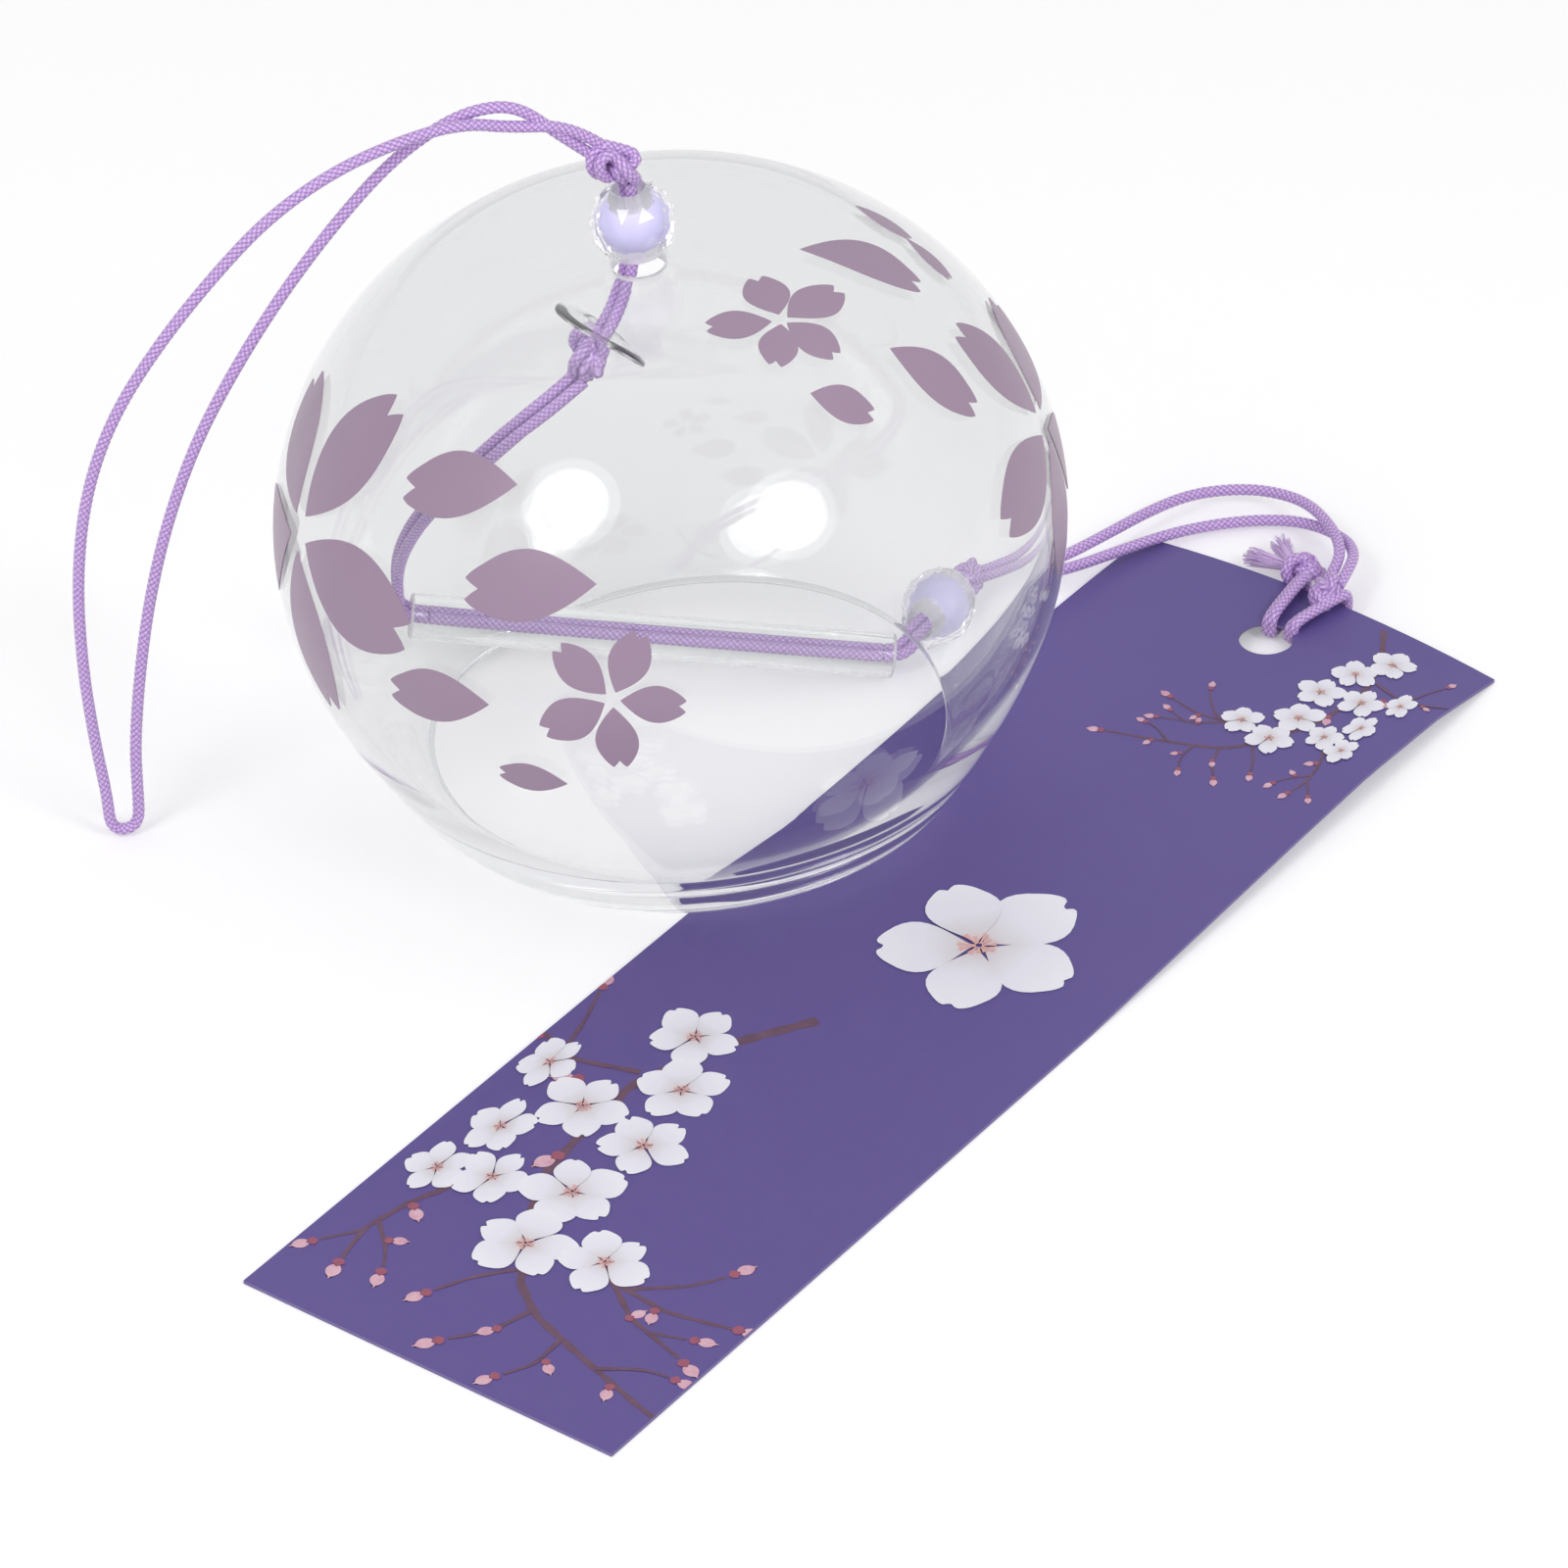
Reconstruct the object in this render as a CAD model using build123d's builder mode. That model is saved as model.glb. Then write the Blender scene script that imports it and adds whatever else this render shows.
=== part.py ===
from build123d import *
from math import acos, asin, atan, cos, degrees, hypot, pi, radians, sin, tan
import os

# A glass wind bell standing on its mouth, with its beads, tube, paper strip and one long cord.
# Millimetres. Z is up from the table, and the origin is under the middle of the whole thing.
# The bell leans towards -X. The strip lies on the table in front of it and to its right.

# Glass bell
bell_radius = 36.55
bell_half_height = 32.57
bell_wall = 1.2
mouth_radius = 24.18
shoulder_radius = 14.0
shoulder_angle = 54.0
crown_angle = 85.0
hole_radius = 2.35
hole_round = 0.3
bell_lean = 5.64
bell_lean_heading = 185.1
bell_x = -18.1
bell_y = 33.0

# Cord, which is doubled all the way from the top loop to the strip
strand_radius = 0.575
strand_spacing = 1.26
arc_share = 0.45

# Beads, a clear faceted shell moulded over a plain core
bead_radius = 3.85
bead_core_radius = 2.2
bead_bore_radius = 1.45
bead_facets = 10
facet_ring_shares = [(-0.9, 0.5), (-0.36, 1.0), (0.36, 1.0), (0.9, 0.5)]
moulding_gap = 0.02

# Top bead, top knot and the hanging loop
stack_lean = 6.5
stack_heading = 176.0
top_bead_seat = 0.4
top_knot_seat = 0.7
top_knot_half_length = 3.0
top_knot_half_width = 1.8
top_knot_drop_depth = 1.25
top_knot_loop_depth = 1.25
loop_heading = 195.5
loop_exit_angle = 41.3
loop_first_run = 3.7

# Drop from the hole to the inner knot, with the clear disc
bend_depth = 2.0
drop_length = 6.25
drop_heading = 32.3
drop_rise = 49.8
inner_knot_half_length = 2.7
inner_knot_half_width = 1.8
inner_knot_drop_depth = 1.25
inner_knot_lead_depth = 1.25
inner_knot_heading = 206.6
inner_knot_dip = 77.0
lead_heading = 189.7
lead_dip = 44.6
lead_first_run = 3.0
disc_radius = 4.8
disc_thickness = 0.5
disc_bore_radius = 1.4
disc_edge_round = 0.15
disc_seat = 0.35

# Glass tube that strikes the bell
tube_radius = 2.2
tube_bore_radius = 1.6
tube_length = 46.6
tube_edge_round = 0.2
tube_heading = 3.0
tube_wall_gap = 0.048
tube_steepest_fall = 30.0
tube_end_inset = 1.9
tube_end_heading = 32.6
tube_cord_lift = 0.35
tube_inner_run = 1.8
tube_outer_run = 0.9
tube_climb_run = 2.7
tube_exit_inner_run = 1.2
tube_exit_outer_run = 0.6
lead_climb_heading = 260.5
lead_climb_rise = 72.2

# Lower bead and lower knot
lower_bead_gap = 1.35
lower_bead_heading = 35.9
lower_bore_heading = 54.0
lower_bore_lead = 0.8
lower_knot_seat = 0.4
lower_knot_half_length = 1.9
lower_knot_half_width = 1.7
lower_knot_depth = 1.15
tail_first_run = 3.0
tail_heading = 28.5
tail_dip = 5.7

# Paper strip
strip_length = 140.0
strip_width = 40.0
strip_thickness = 0.35
strip_heading = 54.33
strip_arch = 1.9
strip_hole_radius = 2.6
strip_hole_setback = 8.9
strip_hole_x = 35.65
strip_hole_y = 48.91
cut_overrun = 1.0

# Hitch round the strip's far edge, the tail knot and the two frayed ends
hitch_low = 0.62
hitch_high = 2.5
hitch_reach = 0.85
hitch_corner = 0.8
hitch_parting = 0.03
hitch_band = 1.6
hitch_start_u = 0.6
hitch_shift = 0.5
hitch_leg_gap = 0.1
hitch_leg_a_heading = 8.0
hitch_leg_b_heading = -11.5
crown_u = 8.1
crown_v = 1.7
crown_height = 3.5
crown_radius = 1.6
crown_depth = 1.0
crown_exit_run = 3.2
crown_exit_heading = 66.3
crown_exit_rise = 4.6
tail_knot_u = 11.7
tail_knot_v = -3.8
tail_knot_height = 2.0
tail_knot_half_length = 2.0
tail_knot_half_width = 1.5
tail_knot_depth = 1.15
frayed_heading_a = 96.0
frayed_heading_b = 62.0
frayed_rise = -6.0
frayed_length = 5.2
frayed_tip_radius = 1.1


def heading(angle, rise=0.0):
    """Return the unit direction at an angle from +X and a rise above the table."""
    level = cos(radians(rise))
    return Vector(level * cos(radians(angle)), level * sin(radians(angle)), sin(radians(rise)))


def exit_point(centre, long_way, half_length, half_width, outward, depth):
    """Return the middle of a flat on the rounded end of a knot that faces outward."""
    end = long_way * (half_length - half_width)
    if long_way.dot(outward) < 0:
        end = -end
    return centre + end + outward * depth


def beside(route, first_side, last_side, hand):
    """Shift a route sideways, run by run, to lie beside the other strand of its pair."""
    ways = [(after - before).normalized() for before, after in zip(route, route[1:])]
    sides = []
    for place, way in enumerate(ways):
        share = place / (len(ways) - 1)
        side = first_side * (1 - share) + last_side * share
        sides.append((side - way * side.dot(way)).normalized() * (hand * strand_spacing / 2))
    shifted = [route[0] + sides[0]]
    for corner, way_in, way_out, side_in, side_out in zip(route[1:], ways, ways[1:], sides, sides[1:]):
        slide_in = way_in - way_out * way_in.dot(way_out)
        slide_out = way_out - way_in * way_in.dot(way_out)
        reach_in = (side_out - side_in).dot(slide_in) / slide_in.dot(slide_in)
        reach_out = (side_in - side_out).dot(slide_out) / slide_out.dot(slide_out)
        meeting = side_in + way_in * reach_in + side_out + way_out * reach_out
        shifted.append(corner + meeting / 2)
    shifted.append(route[-1] + sides[-1])
    return shifted


def corner_radii(route):
    """Return for each corner the largest arc that its two runs leave room for."""
    radii = []
    for before, corner, after in zip(route, route[1:], route[2:]):
        run_in = corner - before
        run_out = after - corner
        turn = radians(run_in.get_angle(run_out))
        radii.append(arc_share * min(run_in.length, run_out.length) / tan(turn / 2))
    return radii


def lay_cord(name, route):
    """Make a round strand along straight runs joined by tangent arcs."""
    radii = corner_radii(route)
    with BuildPart() as cord:
        with BuildLine():
            path = FilletPolyline(*route, radius=radii) if radii else Line(*route)
        with BuildSketch(Plane(origin=route[0], z_dir=route[1] - route[0])):
            Circle(strand_radius)
        sweep(path=path)
    expected = pi * strand_radius**2 * path.length
    print(name, "length", round(path.length, 1), "radii", [round(r, 1) for r in radii])
    print("  volume over section times length", round(cord.part.volume / expected, 4))
    return cord


def trim_flat(middle, outward, reach):
    """Cut a flat face on the piece being made, square to a direction."""
    with BuildSketch(Plane(origin=middle, z_dir=outward)) as flat:
        Circle(reach * 2)
    extrude(flat.sketch, amount=reach, mode=Mode.SUBTRACT)


def tie_knot(centre, long_way, half_length, half_width, flats):
    """Make a long round knot with a flat where each pair of strands leaves it."""
    shank = half_length - half_width
    with BuildPart() as knot:
        with BuildSketch(Plane(origin=centre, x_dir=long_way, z_dir=long_way.cross(Vector(0, 1, 0)))):
            with BuildLine():
                CenterArc((shank, 0), half_width, start_angle=0, arc_size=90)
                Line((shank, half_width), (-shank, half_width))
                CenterArc((-shank, 0), half_width, start_angle=90, arc_size=90)
                Line((-half_length, 0), (half_length, 0))
            make_face()
        revolve(axis=Axis(centre, long_way), revolution_arc=360)
        for middle, outward in flats:
            trim_flat(middle, outward, half_length)
    return knot


def bore_through(centre, direction, radius, reach):
    """Cut a round bore through the middle of the piece being made."""
    with BuildSketch(Plane(origin=centre, z_dir=direction)) as bore:
        Circle(radius)
    extrude(bore.sketch, amount=reach, both=True, mode=Mode.SUBTRACT)


def mould_shell(centre, direction):
    """Make a clear faceted shell with room for its core and a bore for the cord."""
    with BuildPart() as shell:
        for height_share, width_share in facet_ring_shares:
            with BuildSketch(Plane(origin=centre, z_dir=direction).offset(bead_radius * height_share)):
                RegularPolygon(bead_radius * width_share, bead_facets)
        loft(ruled=True)
        with Locations(Plane(origin=centre, z_dir=direction)):
            Sphere(bead_core_radius + moulding_gap, mode=Mode.SUBTRACT)
        bore_through(centre, direction, bead_bore_radius, bead_radius)
    return shell


def mould_core(centre, direction):
    """Make the plain round core inside a bead."""
    with BuildPart() as core:
        with Locations(Plane(origin=centre, z_dir=direction)):
            Sphere(bead_core_radius)
        bore_through(centre, direction, bead_bore_radius, bead_radius)
    return core


def fray(start, way):
    """Make a cord end that widens into a brush of loose fibre."""
    with BuildPart() as brush:
        with BuildSketch(Plane(origin=start, x_dir=way, z_dir=way.cross(up))):
            with BuildLine():
                Polyline(
                    (0, 0),
                    (0, strand_radius),
                    (frayed_length, frayed_tip_radius),
                    (frayed_length, 0),
                    close=True,
                )
            make_face()
        revolve(axis=Axis(start, way), revolution_arc=360)
    return brush


def bell_curve(shrink):
    """Draw one face of the bell's wall from the mouth to the hole, drawn in by shrink."""
    wide = bell_radius - shrink
    high = bell_half_height - shrink
    shoulder_turn = degrees(atan(tan(radians(shoulder_angle)) * high / wide))
    side = EllipticalCenterArc(
        (0, bell_rise), wide, high, start_angle=-mouth_turn, arc_size=mouth_turn + shoulder_turn
    )
    shoulder = JernArc(side @ 1, side % 1, shoulder_radius - shrink, crown_angle - shoulder_angle)
    cap_radius = (shoulder @ 1).X / cos(radians(crown_angle))
    cap_turn = 90 - crown_angle - degrees(asin(hole_radius / cap_radius))
    cap = JernArc(shoulder @ 1, shoulder % 1, cap_radius, cap_turn)
    return side @ 0, side % 0, cap @ 1


def strip_point(u, v, z):
    """Return a place by its distances along, across and above the strip from its hole."""
    return strip_hole + strip_along * u + strip_across * v + Vector(0, 0, z)


# Bell places: its lip just reaches the table on the side that it leans to
up = Vector(0, 0, 1)
mouth_turn = degrees(acos(mouth_radius / bell_radius))
lip_radius = (bell_radius - bell_wall / 2) * cos(radians(mouth_turn))
bell_rise = (bell_half_height - bell_wall / 2) * sin(radians(mouth_turn))
bell_axis = heading(bell_lean_heading, 90 - bell_lean)
mouth = Vector(bell_x, bell_y, lip_radius * sin(radians(bell_lean)) + bell_wall / 2)
bell_across = bell_axis.cross(up).cross(bell_axis).normalized()
bell_section = Plane(origin=mouth, x_dir=bell_across, z_dir=bell_across.cross(bell_axis))

with BuildPart() as glass_bell:
    with BuildSketch(bell_section) as bell_profile:
        with BuildLine():
            outer_end, outer_way, outer_top = bell_curve(0)
            inner_end, inner_way, inner_top = bell_curve(bell_wall)
            lip_foot = (outer_end + inner_end) / 2 - outer_way.normalized() * bell_wall / 2
            ThreePointArc(outer_end, lip_foot, inner_end)
            Line(inner_top, outer_top)
        make_face()
        fillet(bell_profile.vertices().group_by(Axis.X)[0], hole_round)
    revolve(axis=Axis(mouth, bell_axis), revolution_arc=360)

# Top stack places, up from the middle of the hole
hole_top = mouth + bell_axis * outer_top.Y
stack_way = heading(stack_heading, 90 - stack_lean)
top_bead_centre = hole_top + stack_way * (top_bead_seat + bead_radius)
drop_start = top_bead_centre + stack_way * (bead_radius + top_knot_seat)
top_knot_way = heading(loop_heading, loop_exit_angle)
top_knot_form = (top_knot_way, top_knot_half_length, top_knot_half_width)
top_knot_centre = drop_start - exit_point(Vector(0, 0, 0), *top_knot_form, -stack_way, top_knot_drop_depth)
top_knot_size = (top_knot_centre, *top_knot_form)
loop_exit = exit_point(*top_knot_size, top_knot_way, top_knot_loop_depth)

top_knot = tie_knot(*top_knot_size, [(loop_exit, top_knot_way), (drop_start, -stack_way)])

top_bead_shell = mould_shell(top_bead_centre, stack_way)

top_bead_core = mould_core(top_bead_centre, stack_way)

# Hanging loop, by the reach, rise and forward shift of each point from the top knot
loop_reach_way = heading(loop_heading)
loop_front = up.cross(loop_reach_way) * -1
loop_side = top_knot_way.cross(loop_front).normalized() * (strand_spacing / 2)
loop_points = [
    (8.8, 7.1, 0.4),
    (12.5, 7.3, 0.62),
    (16.2, 6.0, 0.62),
    (20.7, 2.9, 0.62),
    (25.7, -2.5, 0.55),
    (30.7, -9.0, 0.45),
    (35.1, -15.8, 0.3),
    (39.2, -23.4, 0.2),
    (42.3, -32.0, 0.1),
    (44.3, -40.8, 0.1),
    (45.5, -49.2, 0.0),
    (46.1, -56.5, 0.0),
    (46.0, -61.3, 0.0),
    (46.0, -65.25, 0.0),
    (48.7, -65.25, 0.0),
    (48.9, -61.2, 0.0),
    (49.9, -54.2, 0.0),
    (50.7, -45.6, -0.1),
    (50.8, -36.2, -0.2),
    (49.7, -27.2, -0.3),
    (47.0, -19.2, -0.4),
    (42.4, -11.9, -0.5),
    (37.1, -5.3, -0.62),
    (31.8, 0.1, -0.62),
    (25.3, 4.1, -0.62),
    (18.2, 6.3, -0.62),
    (13.6, 6.6, -0.5),
    (9.9, 5.4, -0.2),
]
loop_route = [loop_exit + loop_side, loop_exit + loop_side + top_knot_way * loop_first_run]
for reach, rise, shift in loop_points:
    loop_route.append(top_knot_centre + loop_reach_way * reach + up * rise + loop_front * shift)
loop_route.append(loop_exit - loop_side + top_knot_way * loop_first_run)
loop_route.append(loop_exit - loop_side)

hanging_loop = lay_cord("hanging_loop", loop_route)

# Drop strands, from the top knot through the bead and the hole to the inner knot
drop_way = heading(drop_heading, drop_rise)
drop_bend = hole_top - stack_way * bend_depth
drop_end = drop_bend - drop_way * drop_length
inner_knot_way = heading(inner_knot_heading, -inner_knot_dip)
lead_way = heading(lead_heading, -lead_dip)
inner_knot_form = (inner_knot_way, inner_knot_half_length, inner_knot_half_width)
inner_knot_centre = drop_end - exit_point(Vector(0, 0, 0), *inner_knot_form, drop_way, inner_knot_drop_depth)
inner_knot_size = (inner_knot_centre, *inner_knot_form)
lead_start = exit_point(*inner_knot_size, lead_way, inner_knot_lead_depth)
drop_side = stack_way.cross(drop_way)
drop_route = [drop_start, drop_bend, drop_end]

drop_strand_left = lay_cord("drop_strand_left", beside(drop_route, drop_side, drop_side, -1))

drop_strand_right = lay_cord("drop_strand_right", beside(drop_route, drop_side, drop_side, 1))

inner_knot = tie_knot(*inner_knot_size, [(drop_end, drop_way), (lead_start, lead_way)])

# Clear disc, just above the inner knot
disc_foot = drop_end + drop_way * (disc_seat - disc_thickness / 2)

with BuildPart() as stopper_disc:
    with BuildSketch(Plane(origin=disc_foot, z_dir=drop_way)):
        Circle(disc_radius)
        Circle(disc_bore_radius, mode=Mode.SUBTRACT)
    extrude(amount=disc_thickness)
    rims = stopper_disc.edges().filter_by(GeomType.CIRCLE)
    fillet(rims.group_by(SortBy.RADIUS)[-1], disc_edge_round)

# Glass tube, its right end on the table just inside the lip and its left end on the inner wall
bell_middle = mouth + bell_axis * bell_rise
tube_foot = Vector(bell_x, bell_y) + heading(tube_end_heading) * (mouth_radius - tube_end_inset)


def place_tube(fall):
    """Return the way, the lift and the right end of the tube at a fall from the level."""
    way = heading(tube_heading, -fall)
    lift = way.cross(up).cross(way).normalized()
    return way, lift, tube_foot + up * (tube_radius * cos(radians(fall)))


def wall_share(point):
    """Return how near a place is to the inner wall, where 1 is the tube's gap from it."""
    offset = point - bell_middle
    along = offset.dot(bell_axis)
    across = (offset - bell_axis * along).length
    spare = bell_wall + tube_wall_gap
    return hypot(across / (bell_radius - spare), along / (bell_half_height - spare))


def nearest_share(fall):
    """Return the share of the place on the tube's left rim that is nearest to the wall."""
    way, lift, right_end = place_tube(fall)
    left_end = right_end - way * tube_length
    side = way.cross(up).normalized()
    turns = [radians(turn) for turn in range(0, 360, 15)]
    return max(wall_share(left_end + (side * cos(turn) + lift * sin(turn)) * tube_radius) for turn in turns)


level_fall = 0.0
tube_fall = tube_steepest_fall
for _ in range(40):
    middle_fall = (level_fall + tube_fall) / 2
    if nearest_share(middle_fall) > 1:
        level_fall = middle_fall
    else:
        tube_fall = middle_fall
tube_way, tube_lift, tube_right = place_tube(tube_fall)
tube_left = tube_right - tube_way * tube_length

with BuildPart() as clapper_tube:
    with BuildSketch(Plane(origin=tube_left, z_dir=tube_way)):
        Circle(tube_radius)
        Circle(tube_bore_radius, mode=Mode.SUBTRACT)
    extrude(amount=tube_length)
    fillet(clapper_tube.edges().filter_by(GeomType.CIRCLE), tube_edge_round)

# Strands inside the tube
tube_side = tube_way.cross(up).normalized() * (strand_spacing / 2)
clapper_start = tube_left + tube_way * tube_inner_run + tube_lift * tube_cord_lift
clapper_end = tube_right - tube_way * tube_exit_inner_run + tube_lift * tube_cord_lift

clapper_strand_near = lay_cord("clapper_strand_near", [clapper_start + tube_side, clapper_end + tube_side])

clapper_strand_far = lay_cord("clapper_strand_far", [clapper_start - tube_side, clapper_end - tube_side])

# Lead strands, from the inner knot along the inner wall to the tube's left end.
# Each point is a share of the straight way there, with its shift from it.
lead_corner = tube_left - tube_way * tube_outer_run + tube_lift * tube_cord_lift
lead_climb = heading(lead_climb_heading, lead_climb_rise)
lead_side = Vector(-0.28, 0.83, 0.49)
lead_points = [
    (0.16, -2.38, -2.18, 0.47),
    (0.33, -3.54, -2.48, 0.96),
    (0.49, -4.27, -1.95, 1.28),
    (0.64, -4.18, -1.29, 1.66),
    (0.77, -3.55, -0.47, 1.51),
    (0.87, -2.46, 0.04, 1.19),
]
lead_route = [lead_start, lead_start + lead_way * lead_first_run]
for share, shift_x, shift_y, shift_z in lead_points:
    chord = lead_start * (1 - share) + lead_corner * share
    lead_route.append(chord + Vector(shift_x, shift_y, shift_z))
lead_route += [lead_corner + lead_climb * tube_climb_run, lead_corner, clapper_start]

lead_strand_near = lay_cord("lead_strand_near", beside(lead_route, lead_side, -tube_side, -1))

lead_strand_far = lay_cord("lead_strand_far", beside(lead_route, lead_side, -tube_side, 1))

# Lower bead on the table just outside the bell, and the knot behind it
bore_way = heading(lower_bore_heading)
lower_bead_reach = mouth_radius + bead_radius + lower_bead_gap
lower_bead_centre = Vector(bell_x, bell_y, bead_radius) + heading(lower_bead_heading) * lower_bead_reach
lower_knot_centre = lower_bead_centre + bore_way * (bead_radius + lower_knot_seat + lower_knot_half_length)
lower_knot_size = (lower_knot_centre, bore_way, lower_knot_half_length, lower_knot_half_width)
tail_way = heading(tail_heading, -tail_dip)
link_end = exit_point(*lower_knot_size, -bore_way, lower_knot_depth)
tail_start = exit_point(*lower_knot_size, tail_way, lower_knot_depth)

lower_bead_shell = mould_shell(lower_bead_centre, bore_way)

lower_bead_core = mould_core(lower_bead_centre, bore_way)

lower_knot = tie_knot(*lower_knot_size, [(link_end, -bore_way), (tail_start, tail_way)])

# Link strands, from the tube's right end under the lip and through the lower bead
link_route = [
    clapper_end,
    tube_right + tube_way * tube_exit_outer_run + tube_lift * tube_cord_lift,
    lower_bead_centre - bore_way * (bead_radius + lower_bore_lead),
    link_end,
]
link_side = bore_way.cross(up)

link_strand_near = lay_cord("link_strand_near", beside(link_route, tube_side, link_side, 1))

link_strand_far = lay_cord("link_strand_far", beside(link_route, tube_side, link_side, -1))

# Paper strip, flat for most of its length and arched where the cord passes under its far end
strip_along = heading(strip_heading)
strip_across = strip_along.cross(up)
strip_hole = Vector(strip_hole_x, strip_hole_y)
strip_near = strip_hole_setback - strip_length
strip_flat_share = 0.515
strip_section_shares = [
    (0.515, 0.0, 0.0, 0.0),
    (0.67, 0.05, 0.18, 0.49),
    (0.76, 0.1, 0.42, 0.79),
    (0.845, 0.13, 0.68, 1.0),
    (0.93, 0.1, 0.79, 0.76),
    (1.0, 0.0, 0.74, 0.0),
]

with BuildPart() as tanzaku:
    flat_length = strip_length * strip_flat_share
    with BuildSketch(Plane(origin=strip_point(strip_near + flat_length / 2, 0, 0), x_dir=strip_along)):
        Rectangle(flat_length, strip_width)
    extrude(amount=strip_thickness)
    for along_share, left_share, middle_share, right_share in strip_section_shares:
        station = strip_point(strip_near + strip_length * along_share, 0, 0)
        left = left_share * strip_arch
        right = right_share * strip_arch
        pull = 2 * middle_share * strip_arch - (left + right) / 2
        with BuildSketch(Plane(origin=station, x_dir=strip_across, z_dir=-strip_along)):
            with BuildLine():
                foot = Bezier((-strip_width / 2, left), (0, pull), (strip_width / 2, right))
                top = Bezier(
                    (-strip_width / 2, left + strip_thickness),
                    (0, pull + strip_thickness),
                    (strip_width / 2, right + strip_thickness),
                )
                Line(foot @ 0, top @ 0)
                Line(foot @ 1, top @ 1)
            make_face()
    loft(ruled=True)
    bore_through(strip_hole, up, strip_hole_radius, strip_arch + strip_thickness + cut_overrun)

# Hitch, four turns of the cord through the hole and round the far edge, with its crown
crown_centre = strip_point(crown_u, crown_v, crown_height)
crown_way = heading(crown_exit_heading, crown_exit_rise)
crown_exit = crown_centre + crown_way * crown_depth
hitch_middle = (hitch_low + hitch_high) / 2


def pass_leg(hand, turn):
    """Make a doubled turn of the cord through the hole and round the strip's far edge."""
    leg_way = strip_along.rotate(Axis.Z, turn)
    leg_start = strip_point(hitch_start_u, hitch_shift + hand * (hitch_band + hitch_leg_gap) / 2, 0)
    leg_reach = strip_hole_setback - hitch_start_u + hitch_reach
    with BuildPart() as leg:
        with BuildLine(Plane(origin=leg_start, x_dir=leg_way, z_dir=leg_way.cross(up))):
            path = FilletPolyline(
                (0, hitch_middle - hitch_parting),
                (0, hitch_low),
                (leg_reach, hitch_low),
                (leg_reach, hitch_high),
                (0, hitch_high),
                (0, hitch_middle + hitch_parting),
                radius=hitch_corner,
            )
        with BuildSketch(Plane(origin=path @ 0, x_dir=leg_way.cross(up), z_dir=path % 0)):
            SlotOverall(hitch_band, strand_radius * 2)
        sweep(path=path)
    return leg


hitch_leg_a = pass_leg(-1, hitch_leg_a_heading)

hitch_leg_b = pass_leg(1, hitch_leg_b_heading)

with BuildPart() as hitch_crown:
    with Locations(crown_centre):
        Sphere(crown_radius)
    trim_flat(crown_exit, crown_way, crown_radius)

# Tail knot and the two frayed ends
tail_knot_centre = strip_point(tail_knot_u, tail_knot_v, tail_knot_height)
tail_knot_size = (tail_knot_centre, strip_along, tail_knot_half_length, tail_knot_half_width)
frayed_ways = [
    heading(strip_heading + frayed_heading_a, frayed_rise),
    heading(strip_heading + frayed_heading_b, frayed_rise),
]
frayed_starts = [exit_point(*tail_knot_size, way, tail_knot_depth) for way in frayed_ways]

tail_knot = tie_knot(*tail_knot_size, list(zip(frayed_starts, frayed_ways)))


frayed_end_a = fray(frayed_starts[0], frayed_ways[0])
frayed_end_b = fray(frayed_starts[1], frayed_ways[1])

# Tail strands, from the lower knot behind the strip and back to the hitch
tail_side = tail_way.cross(up).normalized() * (strand_spacing / 2)
crown_side = crown_way.cross(up).normalized() * (strand_spacing / 2)
tail_upper_route = [
    tail_start - tail_side,
    tail_start - tail_side + tail_way * tail_first_run,
    Vector(16.4, 60.3, 3.1),
    Vector(20.9, 64.9, 2.7),
    Vector(25.0, 69.3, 2.3),
    Vector(28.9, 72.5, 2.0),
    Vector(32.7, 73.8, 1.8),
    Vector(36.5, 73.3, 2.1),
    Vector(40.2, 70.3, 2.9),
    Vector(42.3, 65.4, 3.6),
    Vector(43.1, 61.6, 3.9),
    crown_exit - crown_side + crown_way * crown_exit_run,
    crown_exit - crown_side,
]
tail_lower_route = [
    tail_start + tail_side,
    tail_start + tail_side + tail_way * tail_first_run,
    Vector(17.0, 59.3, 2.5),
    Vector(22.0, 63.6, 1.6),
    Vector(26.8, 66.9, 1.3),
    Vector(31.6, 69.1, 1.0),
    Vector(36.4, 69.9, 1.0),
    Vector(40.4, 68.4, 1.7),
    Vector(43.6, 64.8, 2.5),
    Vector(44.5, 61.3, 3.3),
    crown_exit + crown_side + crown_way * crown_exit_run,
    crown_exit + crown_side,
]

tail_strand_upper = lay_cord("tail_strand_upper", tail_upper_route)

tail_strand_lower = lay_cord("tail_strand_lower", tail_lower_route)

# Labels and files
pieces = {
    "glass_bell": glass_bell,
    "hanging_loop": hanging_loop,
    "top_knot": top_knot,
    "top_bead_shell": top_bead_shell,
    "top_bead_core": top_bead_core,
    "drop_strand_left": drop_strand_left,
    "drop_strand_right": drop_strand_right,
    "stopper_disc": stopper_disc,
    "inner_knot": inner_knot,
    "lead_strand_near": lead_strand_near,
    "lead_strand_far": lead_strand_far,
    "clapper_tube": clapper_tube,
    "clapper_strand_near": clapper_strand_near,
    "clapper_strand_far": clapper_strand_far,
    "link_strand_near": link_strand_near,
    "link_strand_far": link_strand_far,
    "lower_bead_shell": lower_bead_shell,
    "lower_bead_core": lower_bead_core,
    "lower_knot": lower_knot,
    "tail_strand_upper": tail_strand_upper,
    "tail_strand_lower": tail_strand_lower,
    "hitch_leg_a": hitch_leg_a,
    "hitch_leg_b": hitch_leg_b,
    "hitch_crown": hitch_crown,
    "tail_knot": tail_knot,
    "frayed_end_a": frayed_end_a,
    "frayed_end_b": frayed_end_b,
    "tanzaku": tanzaku,
}
os.makedirs("parts", exist_ok=True)
for label, piece in pieces.items():
    piece.part.label = label
    export_step(piece.part, f"parts/{label}.step")
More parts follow.
